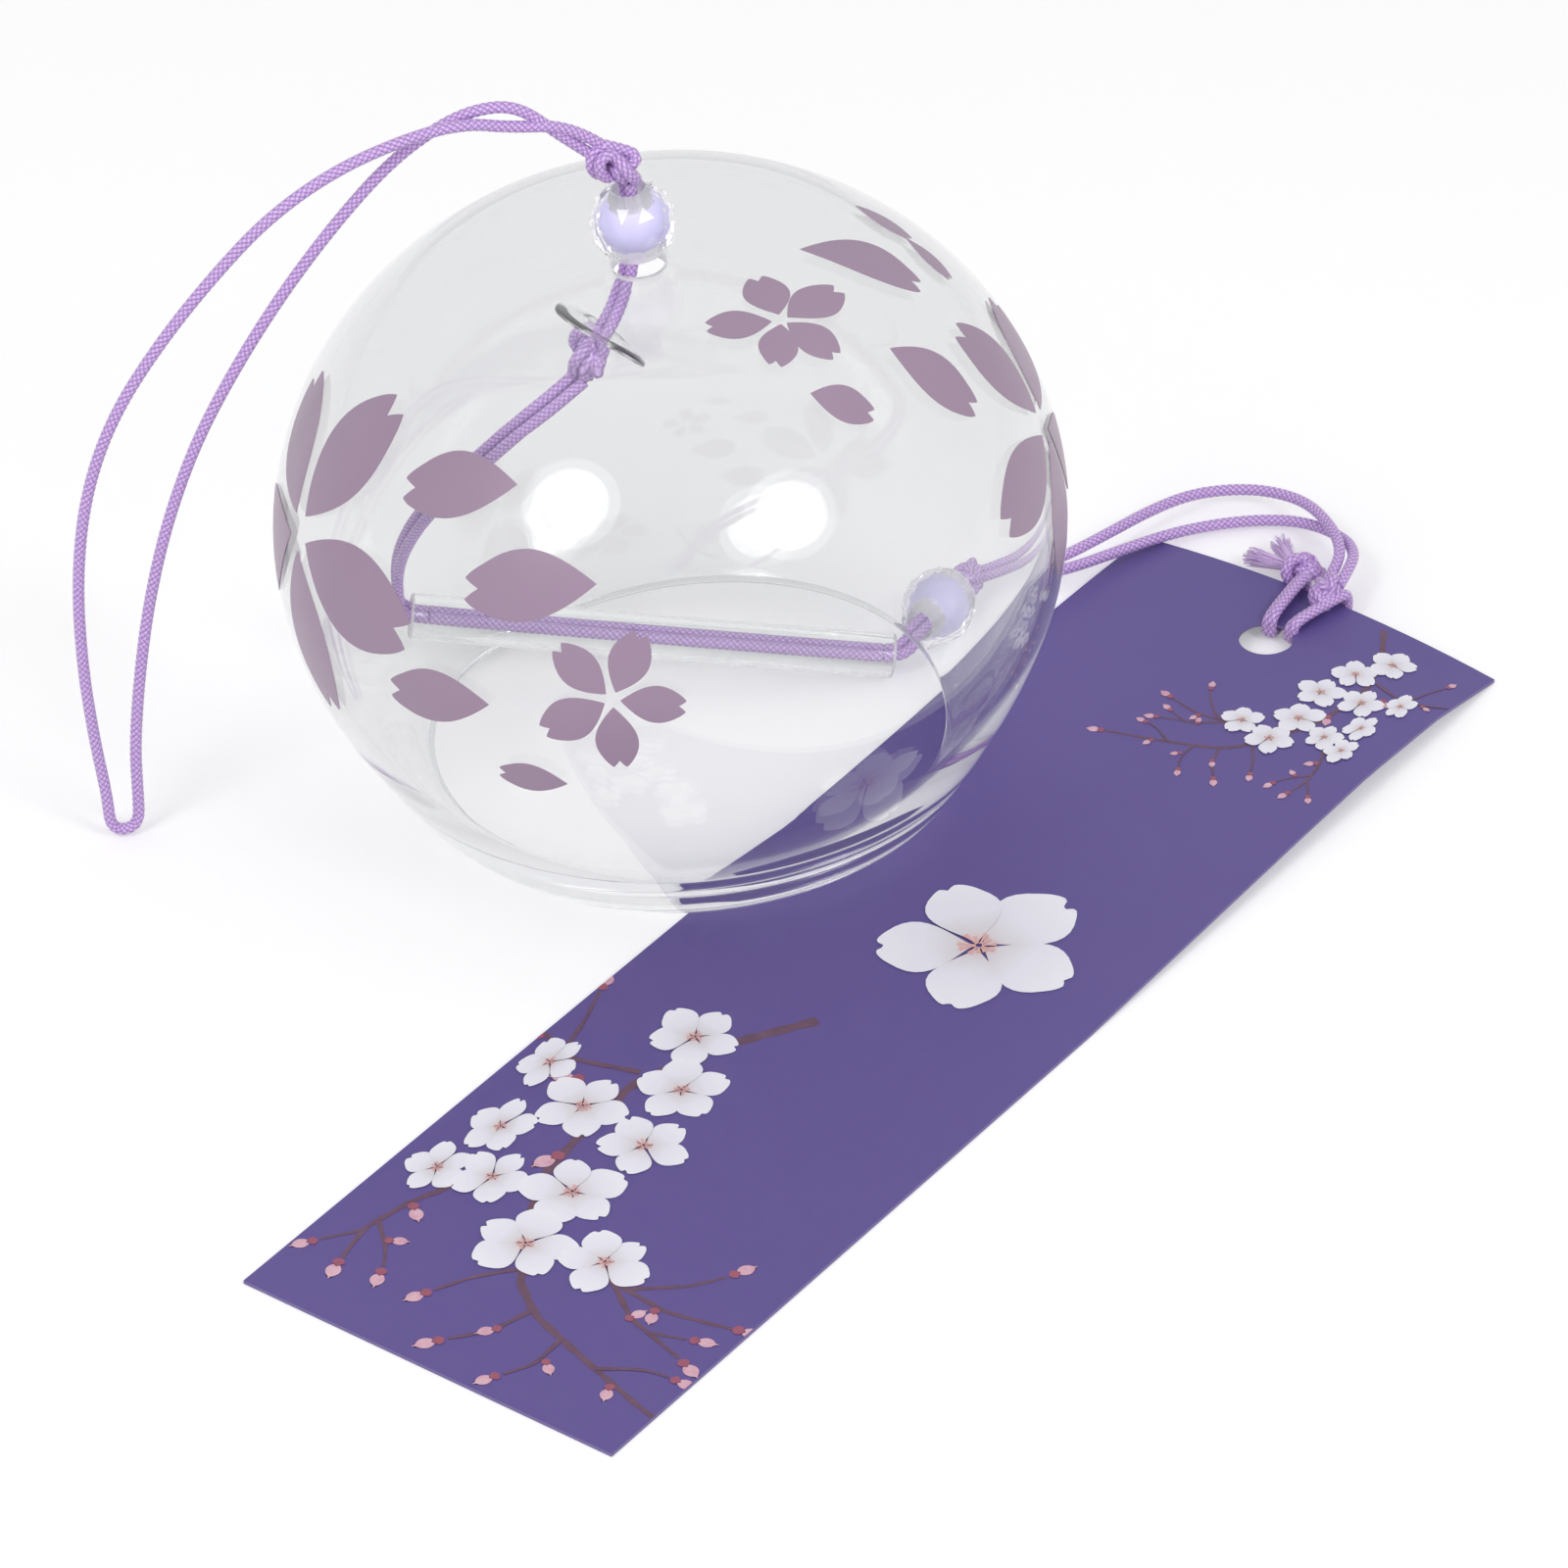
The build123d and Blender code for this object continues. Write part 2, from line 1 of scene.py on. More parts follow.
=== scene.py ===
# %% [markdown]
# # A glass wind bell with a lilac cord and a printed paper strip
# This notebook dresses a wind bell that was first drawn as plain solids. The solids give
# every size and place, so each piece made here fits the space of its solid. All lengths
# are in metres, and MM turns a length in millimetres, as a maker would write it, into metres.

# %% Load the plain bell
import math

import bmesh
import bpy
import numpy as np
from mathutils import Matrix, Vector


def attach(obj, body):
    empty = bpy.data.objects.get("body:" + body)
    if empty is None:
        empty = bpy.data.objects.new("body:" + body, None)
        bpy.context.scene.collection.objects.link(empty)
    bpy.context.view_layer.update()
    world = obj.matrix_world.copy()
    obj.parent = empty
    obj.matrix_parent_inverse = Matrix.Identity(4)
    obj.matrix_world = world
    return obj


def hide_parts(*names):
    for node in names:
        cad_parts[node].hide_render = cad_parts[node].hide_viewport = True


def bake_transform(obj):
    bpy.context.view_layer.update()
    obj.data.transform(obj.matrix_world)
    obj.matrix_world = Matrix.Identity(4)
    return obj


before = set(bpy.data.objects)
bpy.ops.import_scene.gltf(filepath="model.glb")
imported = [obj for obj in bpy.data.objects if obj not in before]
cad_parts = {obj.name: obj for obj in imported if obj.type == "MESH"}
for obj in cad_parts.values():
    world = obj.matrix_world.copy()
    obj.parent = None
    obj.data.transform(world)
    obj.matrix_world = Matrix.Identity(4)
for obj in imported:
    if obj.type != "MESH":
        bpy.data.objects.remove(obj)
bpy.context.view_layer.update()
MM = 0.001
scene = bpy.context.scene
scene.view_settings.view_transform = "Standard"

# %% [markdown]
# ## Camera
# The photograph was taken from a distance with a long lens, from a little over a third of
# the way up to straight overhead. A long lens keeps the globe round and the strip's two
# long edges nearly parallel. The camera stands in front and looks along +Y and down.

# %% Camera at the photograph's angle
CAMERA_PLACE = (-9.975 * MM, -737.778 * MM, 562.656 * MM)
CAMERA_PITCH = 36.308
CAMERA_ROLL = 0.16
LENS, SENSOR_WIDTH = 234.21, 36.0
NEAREST_SEEN = 0.01

camera = bpy.data.objects.new("camera", bpy.data.cameras.new("camera"))
scene.collection.objects.link(camera)
camera.data.sensor_width = SENSOR_WIDTH
camera.data.lens = LENS
camera.data.clip_start = NEAREST_SEEN
camera.location = CAMERA_PLACE
tilt = Matrix.Rotation(math.radians(90.0 - CAMERA_PITCH), 4, "X")
roll = Matrix.Rotation(math.radians(CAMERA_ROLL), 4, "Z")
camera.rotation_euler = (tilt @ roll).to_euler()
scene.camera = camera
print("camera", tuple(round(c, 3) for c in camera.location))

# %% [markdown]
# ## Floor, world and lamps
# Glass is seen by what stands round it, so the room matters more here than for a matt
# thing. The floor is plain and pale. The world is white to the eye and through the glass,
# and a little darker in reflections, which gives the clear wall its soft grey edge. Two
# round lamps stand in front, left and right, because the photograph shows their two
# soft spots on the globe. Each lamp is three discs of growing width, one just behind the
# other, so that its spot fades towards the edge.

# %% Floor
FLOOR_SIZE = 6.0
FLOOR_DROP = 0.03 * MM
FLOOR_COLOUR = (0.86, 0.86, 0.87, 1.0)
FLOOR_ROUGHNESS, FLOOR_SHINE, FLOOR_GLOW = 0.9, 0.1, 0.26


def add_node(tree, kind, **values):
    """Add a shader node and set its plain properties and its sockets by name."""
    node = tree.nodes.new(kind)
    for name, value in values.items():
        if hasattr(node, name):
            setattr(node, name, value)
        else:
            node.inputs[name.replace("_", " ")].default_value = value
    return node


def reckon(tree, operation, *values):
    """Add a maths node fed by sockets or plain numbers, and give its output."""
    node = add_node(tree, "ShaderNodeMath", operation=operation)
    for socket, value in zip(node.inputs, values):
        if isinstance(value, float):
            socket.default_value = value
        else:
            tree.links.new(value, socket)
    return node.outputs[0]


def mixed_shader(tree, share, first, second):
    """Mix two shaders by a share that comes from a socket, and give the output."""
    mix = add_node(tree, "ShaderNodeMixShader")
    for socket, source in zip(mix.inputs, (share, first, second)):
        tree.links.new(source, socket)
    return mix.outputs[0]


def seen_rays(tree, kinds):
    """Give one socket that is 1 for the named kinds of ray and 0 for the rest."""
    path = add_node(tree, "ShaderNodeLightPath")
    total = path.outputs[kinds[0]]
    for kind in kinds[1:]:
        total = reckon(tree, "MAXIMUM", total, path.outputs[kind])
    return total


floor_mesh = bpy.data.meshes.new("floor")
half_floor = FLOOR_SIZE / 2
floor_corners = [(-half_floor, -half_floor, 0), (half_floor, -half_floor, 0),
                 (half_floor, half_floor, 0), (-half_floor, half_floor, 0)]
floor_mesh.from_pydata(floor_corners, [], [(0, 1, 2, 3)])
floor = bpy.data.objects.new("floor", floor_mesh)
floor.location.z = -FLOOR_DROP
scene.collection.objects.link(floor)

floor_paint = bpy.data.materials.new("pale floor")
floor_paint.use_nodes = True
tree = floor_paint.node_tree
board = tree.nodes["Principled BSDF"]
board.inputs["Base Color"].default_value = FLOOR_COLOUR
board.inputs["Roughness"].default_value = FLOOR_ROUGHNESS
board.inputs["Specular IOR Level"].default_value = FLOOR_SHINE
board.inputs["Emission Color"].default_value = (1.0, 1.0, 1.0, 1.0)
seen = seen_rays(tree, ["Is Camera Ray", "Is Glossy Ray", "Is Transmission Ray"])
tree.links.new(reckon(tree, "MULTIPLY", seen, FLOOR_GLOW), board.inputs["Emission Strength"])
floor_mesh.materials.append(floor_paint)

# %% World
ROOM_LIGHT = 0.62
MIRRORED_ROOM = (0.80, 0.81, 0.83, 1.0)

world = bpy.data.worlds.new("studio")
scene.world = world
world.use_nodes = True
tree = world.node_tree
tree.nodes.clear()
lighting = add_node(tree, "ShaderNodeBackground", Color=(1.0, 1.0, 1.0, 1.0), Strength=ROOM_LIGHT)
backdrop = add_node(tree, "ShaderNodeBackground", Color=(1.0, 1.0, 1.0, 1.0), Strength=1.0)
mirrored = add_node(tree, "ShaderNodeBackground", Color=MIRRORED_ROOM, Strength=1.0)
world_out = add_node(tree, "ShaderNodeOutputWorld")
shiny = seen_rays(tree, ["Is Glossy Ray"])
straight = seen_rays(tree, ["Is Camera Ray", "Is Transmission Ray"])
unseen = mixed_shader(tree, shiny, lighting.outputs[0], mirrored.outputs[0])
tree.links.new(mixed_shader(tree, straight, unseen, backdrop.outputs[0]), world_out.inputs[0])

# %% Lamps
LAMP_AIM = Vector((-20.0, 33.0, 35.0)) * MM
LAMP_DISTANCE = 0.75
LAMPS = {"left lamp": ((-0.47, -0.54, 0.70), 1.0), "right lamp": ((0.53, -0.57, 0.63), 0.92)}
LAMP_LAYERS = [(0.20, 0.44, 0.0), (0.28, 0.48, 0.01), (0.37, 0.40, 0.02)]

for lamp_name, (direction, share) in LAMPS.items():
    outward = Vector(direction).normalized()
    for layer, (width, power, behind) in enumerate(LAMP_LAYERS):
        lamp_data = bpy.data.lights.new(lamp_name + str(layer), "AREA")
        lamp_data.shape = "DISK"
        lamp_data.size = width
        lamp_data.energy = power * share
        lamp = bpy.data.objects.new(lamp_name + str(layer), lamp_data)
        lamp.location = LAMP_AIM + outward * (LAMP_DISTANCE + behind)
        lamp.rotation_euler = outward.to_track_quat("Z", "Y").to_euler()
        scene.collection.objects.link(lamp)
print("lamps", len(LAMPS))

# %% [markdown]
# ## Shared finishes
# Two effects turn up on more than one piece: faint marks, which also make printed ink
# slightly uneven when they are large, and the fine fibre of the cord. Each one is a node
# group with named sockets, so that a material only picks its values.

# %% Group for faint marks on a smooth surface
def new_group(name, inputs, outputs):
    """Start a shader node group with named float inputs and named outputs."""
    group = bpy.data.node_groups.new(name, "ShaderNodeTree")
    for label, value in inputs.items():
        socket = group.interface.new_socket(label, in_out="INPUT", socket_type="NodeSocketFloat")
        socket.default_value = value
    for label in outputs:
        group.interface.new_socket(label, in_out="OUTPUT", socket_type="NodeSocketFloat")
    return group, group.nodes.new("NodeGroupInput"), group.nodes.new("NodeGroupOutput")


marks, marks_in, marks_out = new_group("faint marks", {"Scale": 200.0, "Low": 0.0, "High": 0.1}, ["Value"])
place = add_node(marks, "ShaderNodeNewGeometry")
speckle = add_node(marks, "ShaderNodeTexNoise", Detail=4.0, Roughness=0.6)
spread = add_node(marks, "ShaderNodeMapRange")
marks.links.new(place.outputs["Position"], speckle.inputs["Vector"])
marks.links.new(marks_in.outputs["Scale"], speckle.inputs["Scale"])
marks.links.new(speckle.outputs["Fac"], spread.inputs["Value"])
marks.links.new(marks_in.outputs["Low"], spread.inputs["To Min"])
marks.links.new(marks_in.outputs["High"], spread.inputs["To Max"])
marks.links.new(spread.outputs["Result"], marks_out.inputs["Value"])


def use_marks(tree, scale, low, high):
    """Place the faint marks group with its own values and give its output."""
    node = add_node(tree, "ShaderNodeGroup", node_tree=marks)
    node.inputs["Scale"].default_value = scale
    node.inputs["Low"].default_value = low
    node.inputs["High"].default_value = high
    return node.outputs["Value"]


# %% Group for the cord's fibre
fibre, fibre_in, fibre_out = new_group("cord fibre", {"Along": 9.0, "Around": 60.0}, ["Value"])
lay = add_node(fibre, "ShaderNodeUVMap")
parts = add_node(fibre, "ShaderNodeSeparateXYZ")
joined = add_node(fibre, "ShaderNodeCombineXYZ")
hair = add_node(fibre, "ShaderNodeTexNoise", Scale=1.0, Detail=3.0, Roughness=0.7)
fibre.links.new(lay.outputs["UV"], parts.inputs[0])
for axis, label in (("X", "Along"), ("Y", "Around")):
    part = reckon(fibre, "MULTIPLY", parts.outputs[axis], fibre_in.outputs[label])
    fibre.links.new(part, joined.inputs[axis])
fibre.links.new(joined.outputs[0], hair.inputs["Vector"])
fibre.links.new(hair.outputs["Fac"], fibre_out.inputs["Value"])

# %% [markdown]
# ## Materials
# Clear glass and clear plastic are the same shader with other values. Rays from the lamps
# pass through them, because a thin clear wall hardly darkens what is behind it. A ray that
# keeps turning round inside a wall goes straight on, because it would end as black there.
# The cord gets painted shade in the gaps of its braid and a painted highlight on the tops of its yarns, from
# the height of its own braid, stored on the mesh.

# %% Clear materials
def start_material(name):
    """Make a material and give its tree, its main shader and its output."""
    material = bpy.data.materials.new(name)
    material.use_nodes = True
    tree = material.node_tree
    return material, tree, tree.nodes["Principled BSDF"], tree.nodes["Material Output"]


TRAPPED_TURNS, NEVER_TRAPPED = 3.5, 99.0


def clear_material(name, colour, ior, shade, marks_scale, marks_high, turns=TRAPPED_TURNS):
    """Make a clear material that lets through the lamps' rays and rays trapped in a wall."""
    material, tree, body, output = start_material(name)
    body.inputs["Base Color"].default_value = (*colour, 1.0)
    body.inputs["Transmission Weight"].default_value = 1.0
    body.inputs["IOR"].default_value = ior
    tree.links.new(use_marks(tree, marks_scale, 0.0, marks_high), body.inputs["Roughness"])
    through = add_node(tree, "ShaderNodeBsdfTransparent", Color=(*shade, 1.0))
    path = add_node(tree, "ShaderNodeLightPath")
    trapped = reckon(tree, "GREATER_THAN", path.outputs["Glossy Depth"], turns)
    either = reckon(tree, "MAXIMUM", path.outputs["Is Shadow Ray"], trapped)
    choice = mixed_shader(tree, either, body.outputs[0], through.outputs[0])
    tree.links.new(choice, output.inputs["Surface"])
    return material


def shade_on_entry(material, entry_shade):
    """Darken only the rays that enter a piece from outside with painted shade, so one pass counts once."""
    tree = material.node_tree
    body = tree.nodes["Principled BSDF"]
    facing = add_node(tree, "ShaderNodeNewGeometry")
    choice = add_node(tree, "ShaderNodeMix", data_type="RGBA")
    choice.inputs["A"].default_value = (*entry_shade, 1.0)
    choice.inputs["B"].default_value = (1.0, 1.0, 1.0, 1.0)
    tree.links.new(facing.outputs["Backfacing"], choice.inputs["Factor"])
    tree.links.new(choice.outputs["Result"], body.inputs["Base Color"])


GLASS_IOR, PLASTIC_IOR = 1.5, 1.49
# The globe's glass colour is painted shade. It darkens every ray that enters the globe far more than clear
# glass would, to give the grey look that shade and dim reflections give a clear globe.
GLASS_PAINTED_SHADE = (0.655, 0.662, 0.672)
GROUND_CLEARNESS = 0.45

blown_glass = clear_material("blown glass", (0.98, 0.98, 0.985), GLASS_IOR, (0.95, 0.95, 0.96), 90.0, 0.012)
shade_on_entry(blown_glass, GLASS_PAINTED_SHADE)
inner_glass = clear_material("blown glass inside", (0.99, 0.99, 0.99), GLASS_IOR, (0.99, 0.99, 0.99),
                             90.0, 0.012)
ground_glass = clear_material("ground glass edge", (0.93, 0.93, 0.94), GLASS_IOR, (0.95, 0.95, 0.96),
                              400.0, 0.9)
ground_body = ground_glass.node_tree.nodes["Principled BSDF"]
ground_body.inputs["Transmission Weight"].default_value = GROUND_CLEARNESS
drawn_glass = clear_material("drawn glass tube", (0.985, 0.99, 0.99), GLASS_IOR, (0.97, 0.97, 0.975),
                             160.0, 0.015)
bead_plastic = clear_material("faceted clear bead", (0.98, 0.975, 0.99), PLASTIC_IOR, (0.97, 0.96, 0.98),
                              500.0, 0.03)
disc_plastic = clear_material("clear stopper disc", (0.97, 0.975, 0.97), GLASS_IOR, (0.96, 0.96, 0.96),
                              600.0, 0.05, NEVER_TRAPPED)

# %% Milky bead core with a painted glow
glowing_core_paint, tree, body, _ = start_material("milky bead core with painted glow")
body.inputs["Base Color"].default_value = (0.58, 0.555, 0.83, 1.0)
# The emission is a painted glow that evens out the core's light and shade; the core is no lamp.
body.inputs["Emission Color"].default_value = (0.78, 0.73, 1.0, 1.0)
body.inputs["Emission Strength"].default_value = 0.18
body.inputs["Subsurface Weight"].default_value = 0.35
body.inputs["Subsurface Radius"].default_value = (1.0, 0.9, 1.0)
body.inputs["Subsurface Scale"].default_value = 1.2 * MM
tree.links.new(use_marks(tree, 800.0, 0.3, 0.45), body.inputs["Roughness"])

# %% Cord
# The darkest cord colour is painted shade for the braid's gaps, and the lightest is a painted highlight for the
# yarns' tops.
CORD_GAP_SHADE = (0.20, 0.08, 0.36)
CORD_MAIN = (0.47, 0.265, 0.67)
CORD_CREST_HIGHLIGHT = (0.80, 0.60, 0.94)


def colour_ramp(tree, stops):
    """Add a colour ramp whose stops are given as position and colour, lowest first."""
    ramp = add_node(tree, "ShaderNodeValToRGB")
    for element, (position, colour) in zip(ramp.color_ramp.elements, (stops[0], stops[-1])):
        element.color = (*colour, 1.0)
        element.position = position
    for position, colour in stops[1:-1]:
        ramp.color_ramp.elements.new(position).color = (*colour, 1.0)
    return ramp


def cord_material(name, fuzz):
    """Make braided nylon with painted shade in the braid's gaps and a painted highlight on its yarns' tops,
    from the braid's height and fine fibre.
    """
    material, tree, body, _ = start_material(name)
    height = add_node(tree, "ShaderNodeAttribute", attribute_name="braid")
    fibres = add_node(tree, "ShaderNodeGroup", node_tree=fibre)
    # The ramp paints shade where the braid is low and a highlight where it is high.
    ramp = colour_ramp(tree, [(0.12, CORD_GAP_SHADE), (0.5, CORD_MAIN), (1.0, CORD_CREST_HIGHLIGHT)])
    shade = reckon(tree, "MULTIPLY_ADD", fibres.outputs["Value"], fuzz, height.outputs["Fac"])
    tree.links.new(shade, ramp.inputs["Fac"])
    tree.links.new(ramp.outputs["Color"], body.inputs["Base Color"])
    bump = add_node(tree, "ShaderNodeBump", Strength=0.5, Distance=0.05 * MM)
    tree.links.new(fibres.outputs["Value"], bump.inputs["Height"])
    tree.links.new(bump.outputs["Normal"], body.inputs["Normal"])
    tree.links.new(use_marks(tree, 3000.0, 0.2, 0.36), body.inputs["Roughness"])
    body.inputs["Sheen Weight"].default_value = 0.25
    body.inputs["Sheen Roughness"].default_value = 0.4
    return material


cord_yarn = cord_material("braided lilac cord", 0.3)

# %% Prints and paper
MIX_SHARE, MIX_FIRST, MIX_SECOND, MIX_COLOUR = 0, 6, 7, 2


def printed_material(name, colour, other, scale, rough):
    """Make flat ink whose colour drifts slowly between two near tones."""
    material, tree, body, _ = start_material(name)
    mix = add_node(tree, "ShaderNodeMix", data_type="RGBA")
    mix.inputs[MIX_FIRST].default_value = (*colour, 1.0)
    mix.inputs[MIX_SECOND].default_value = (*other, 1.0)
    tree.links.new(use_marks(tree, scale, 0.0, 1.0), mix.inputs[MIX_SHARE])
    tree.links.new(mix.outputs[MIX_COLOUR], body.inputs["Base Color"])
    tree.links.new(use_marks(tree, scale * 9, rough * 0.8, rough * 1.2), body.inputs["Roughness"])
    return material


petal_enamel = printed_material("mauve enamel", (0.345, 0.24, 0.34), (0.40, 0.285, 0.40), 60.0, 0.35)
strip_ink = printed_material("purple card", (0.113, 0.079, 0.286), (0.126, 0.088, 0.31), 25.0, 0.46)
card_core = printed_material("card edge", (0.17, 0.13, 0.33), (0.26, 0.21, 0.42), 900.0, 0.8)
twig_ink = printed_material("twig ink", (0.085, 0.036, 0.08), (0.21, 0.11, 0.165), 450.0, 0.5)
bud_ink = printed_material("bud ink", (0.56, 0.22, 0.34), (0.86, 0.62, 0.68), 900.0, 0.5)
sepal_ink = printed_material("sepal ink", (0.30, 0.07, 0.13), (0.38, 0.12, 0.17), 500.0, 0.5)
stamen_ink = printed_material("stamen ink", (0.76, 0.52, 0.42), (0.74, 0.38, 0.40), 900.0, 0.5)

BLOSSOM_STOPS = [(0.0, (0.76, 0.42, 0.46)), (0.2, (0.74, 0.70, 0.74)), (0.5, (0.84, 0.83, 0.92)),
                 (1.0, (0.90, 0.89, 0.96))]
VEIN_SHARE = 0.16


def blossom_material():
    """Make white petal ink that warms to pink at the middle of a blossom, by its stored reach."""
    material, tree, body, _ = start_material("blossom ink")
    reach = add_node(tree, "ShaderNodeAttribute", attribute_name="reach")
    ramp = colour_ramp(tree, BLOSSOM_STOPS)
    veins = use_marks(tree, 420.0, -0.5, 0.5)
    shade = reckon(tree, "MULTIPLY_ADD", veins, VEIN_SHARE, reach.outputs["Fac"])
    tree.links.new(shade, ramp.inputs["Fac"])
    tree.links.new(ramp.outputs["Color"], body.inputs["Base Color"])
    tree.links.new(use_marks(tree, 700.0, 0.4, 0.6), body.inputs["Roughness"])
    return material


blossom_ink = blossom_material()
print("materials", len(bpy.data.materials))

# %% [markdown]
# ## Glass globe
# The bell is one blown bubble with a wide ground mouth and a small hole at the crown. It
# could be a sphere with a thickness modifier, but its wall, shoulder and fire-polished
# edges are one closed outline, so the outline is drawn once and turned round the bell's
# own leaning axis, as a lathe would. In front the foot is fuller than a lathe leaves it,
# so it is then pressed outwards and down there.

# %% Mesh helpers
def unit(way):
    """Give a direction as a vector of length one."""
    way = np.array(way, float)
    return way / np.linalg.norm(way)


def make_piece(name, points, faces, materials, smooth=True):
    """Make a mesh object from points and faces, with its materials."""
    mesh = bpy.data.meshes.new(name)
    places = [tuple(float(c) for c in p) for p in points]
    mesh.from_pydata(places, [], [tuple(int(i) for i in f) for f in faces])
    mesh.polygons.foreach_set("use_smooth", [smooth] * len(mesh.polygons))
    for material in materials:
        mesh.materials.append(material)
    piece = bpy.data.objects.new(name, mesh)
    scene.collection.objects.link(piece)
    return piece


def dress(piece, node, body_name):
    """Put a piece in the place of its plain solid and on its body."""
    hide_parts(node)
    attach(piece, body_name)


def ring_faces(rings, sides, closed=False):
    """List the four-sided faces between rings of points, each ring with the same sides."""
    rows = np.arange(rings if closed else rings - 1)[:, None]
    here = rows * sides
    above = ((rows + 1) % rings) * sides
    left = np.arange(sides)[None, :]
    right = (left + 1) % sides
    return np.stack([here + left, here + right, above + right, above + left], -1).reshape(-1, 4)


def turn_profile(name, profile, origin, axis, across, sides, material):
    """Turn a closed outline of (radius, height) round an axis, as on a lathe."""
    profile = np.array(profile)
    axis = np.array(axis, float)
    across = np.array(across, float)
    ahead = np.cross(axis, across)
    turn = np.arange(sides) * 2 * math.pi / sides
    spokes = np.cos(turn)[:, None] * across + np.sin(turn)[:, None] * ahead
    points = np.array(origin) + profile[:, 0, None, None] * spokes[None] + profile[:, 1, None, None] * axis
    faces = ring_faces(len(profile), sides, closed=True)
    return make_piece(name, points.reshape(-1, 3), faces, [material])


# %% Globe outline
BELL_RADIUS = 36.55 * MM
BELL_HALF_HEIGHT = 32.57 * MM
BELL_WALL = 1.2 * MM
MOUTH_RADIUS = 24.18 * MM
SHOULDER_RADIUS = 14.0 * MM
SHOULDER_ANGLE = math.radians(54.0)
CROWN_ANGLE = math.radians(85.0)
HOLE_RADIUS = 2.35 * MM
HOLE_ROUND = 0.3 * MM
MOUTH_PLACE = np.array([-18.1, 33.0, 2.9373]) * MM
BELL_AXIS = unit([-0.0979, -0.0087, 0.9952])
BELL_ACROSS = unit(np.cross([0.0, 1.0, 0.0], BELL_AXIS))
BELL_AHEAD = np.cross(BELL_AXIS, BELL_ACROSS)
MOUTH_TURN = math.acos(MOUTH_RADIUS / BELL_RADIUS)
BELL_RISE = (BELL_HALF_HEIGHT - BELL_WALL / 2) * math.sin(MOUTH_TURN)
SIDE_POINTS, SHOULDER_POINTS, CAP_POINTS = 60, 12, 10
HOLE_POINTS, LIP_POINTS = 8, 10
HOLE_BULGE = 0.5
GLOBE_SIDES = 256


def globe_side(shrink):
    """Give one face of the globe's wall as (radius, height) from the mouth to the hole."""
    wide, high = BELL_RADIUS - shrink, BELL_HALF_HEIGHT - shrink
    shoulder_turn = math.atan(math.tan(SHOULDER_ANGLE) * high / wide)
    turns = np.linspace(-MOUTH_TURN, shoulder_turn, SIDE_POINTS)
    side = np.stack([wide * np.cos(turns), BELL_RISE + high * np.sin(turns)], 1)
    bend = SHOULDER_RADIUS - shrink
    centre = side[-1] - bend * np.array([math.cos(SHOULDER_ANGLE), math.sin(SHOULDER_ANGLE)])
    turns = np.linspace(SHOULDER_ANGLE, CROWN_ANGLE, SHOULDER_POINTS)[1:]
    shoulder = centre + bend * np.stack([np.cos(turns), np.sin(turns)], 1)
    cap_radius = shoulder[-1, 0] / math.cos(CROWN_ANGLE)
    centre = shoulder[-1] - cap_radius * np.array([math.cos(CROWN_ANGLE), math.sin(CROWN_ANGLE)])
    last = math.acos((HOLE_RADIUS + HOLE_ROUND) / cap_radius)
    turns = np.linspace(CROWN_ANGLE, last, CAP_POINTS)[1:]
    cap = centre + cap_radius * np.stack([np.cos(turns), np.sin(turns)], 1)
    return np.vstack([side, shoulder, cap])


def rounded_end(first, last, inward, steps):
    """Give points on a half round from one wall face to the other, bulging inward's way."""
    middle = (first + last) / 2
    arm = first - middle
    turns = np.linspace(0, math.pi, steps + 2)[1:-1]
    bulge = np.array(inward) * np.linalg.norm(arm)
    return middle + np.cos(turns)[:, None] * arm + np.sin(turns)[:, None] * bulge


outer_side = globe_side(0.0)
inner_side = globe_side(BELL_WALL)[::-1]
hole_edge = rounded_end(outer_side[-1], inner_side[0], (-HOLE_BULGE, 0.0), HOLE_POINTS)
lip_way = -np.array([math.sin(MOUTH_TURN), math.cos(MOUTH_TURN)])
lip_edge = rounded_end(inner_side[-1], outer_side[0], lip_way, LIP_POINTS)
globe_outline = np.vstack([outer_side, hole_edge, inner_side, lip_edge])

# %% Globe with its fuller foot
FOOT_SWELL, FOOT_DROP = 2.3 * MM, 1.0 * MM
FOOT_HIGH, DROP_HIGH = 13.0 * MM, 6.0 * MM
FOOT_HEADING, FOOT_FULL, FOOT_NONE = -115.0, 70.0, 140.0
FOOT_MOST = 1.05
LIP_TOUCH, DROP_SHARE = 0.25 * MM, 0.8
INNER_SWELL = 0.8


def smooth_share(value, low, high):
    """Give a share that rises smoothly from 0 at low to 1 at high."""
    share = np.clip((value - low) / (high - low), 0, 1)
    return share * share * (3 - 2 * share)


def swell_foot(points, share):
    """Press places on the globe's foot outwards and down in front, where the glass is fuller."""
    points = np.array(points, float)
    offset = points - MOUTH_PLACE
    x, y, high = offset @ BELL_ACROSS, offset @ BELL_AHEAD, offset @ BELL_AXIS
    turn = np.degrees(np.arctan2(y, x))
    from_front = np.abs((turn - FOOT_HEADING + 180) % 360 - 180)
    front = 1 - smooth_share(from_front, FOOT_FULL, FOOT_NONE)
    spoke = (x[..., None] * BELL_ACROSS + y[..., None] * BELL_AHEAD) / np.hypot(x, y)[..., None]
    spoke[..., 2] = 0.0
    out = FOOT_SWELL * share * front * np.clip(1 - high / FOOT_HIGH, 0, FOOT_MOST) ** 2
    room = np.clip(points[..., 2] - LIP_TOUCH - BELL_WALL / 2, 0, None)
    fall = np.minimum(FOOT_DROP, DROP_SHARE * room)
    drop = fall * share * front * np.clip(1 - high / DROP_HIGH, 0, 1.0) ** 2
    points = points + spoke * out[..., None]
    points[..., 2] -= drop
    return points


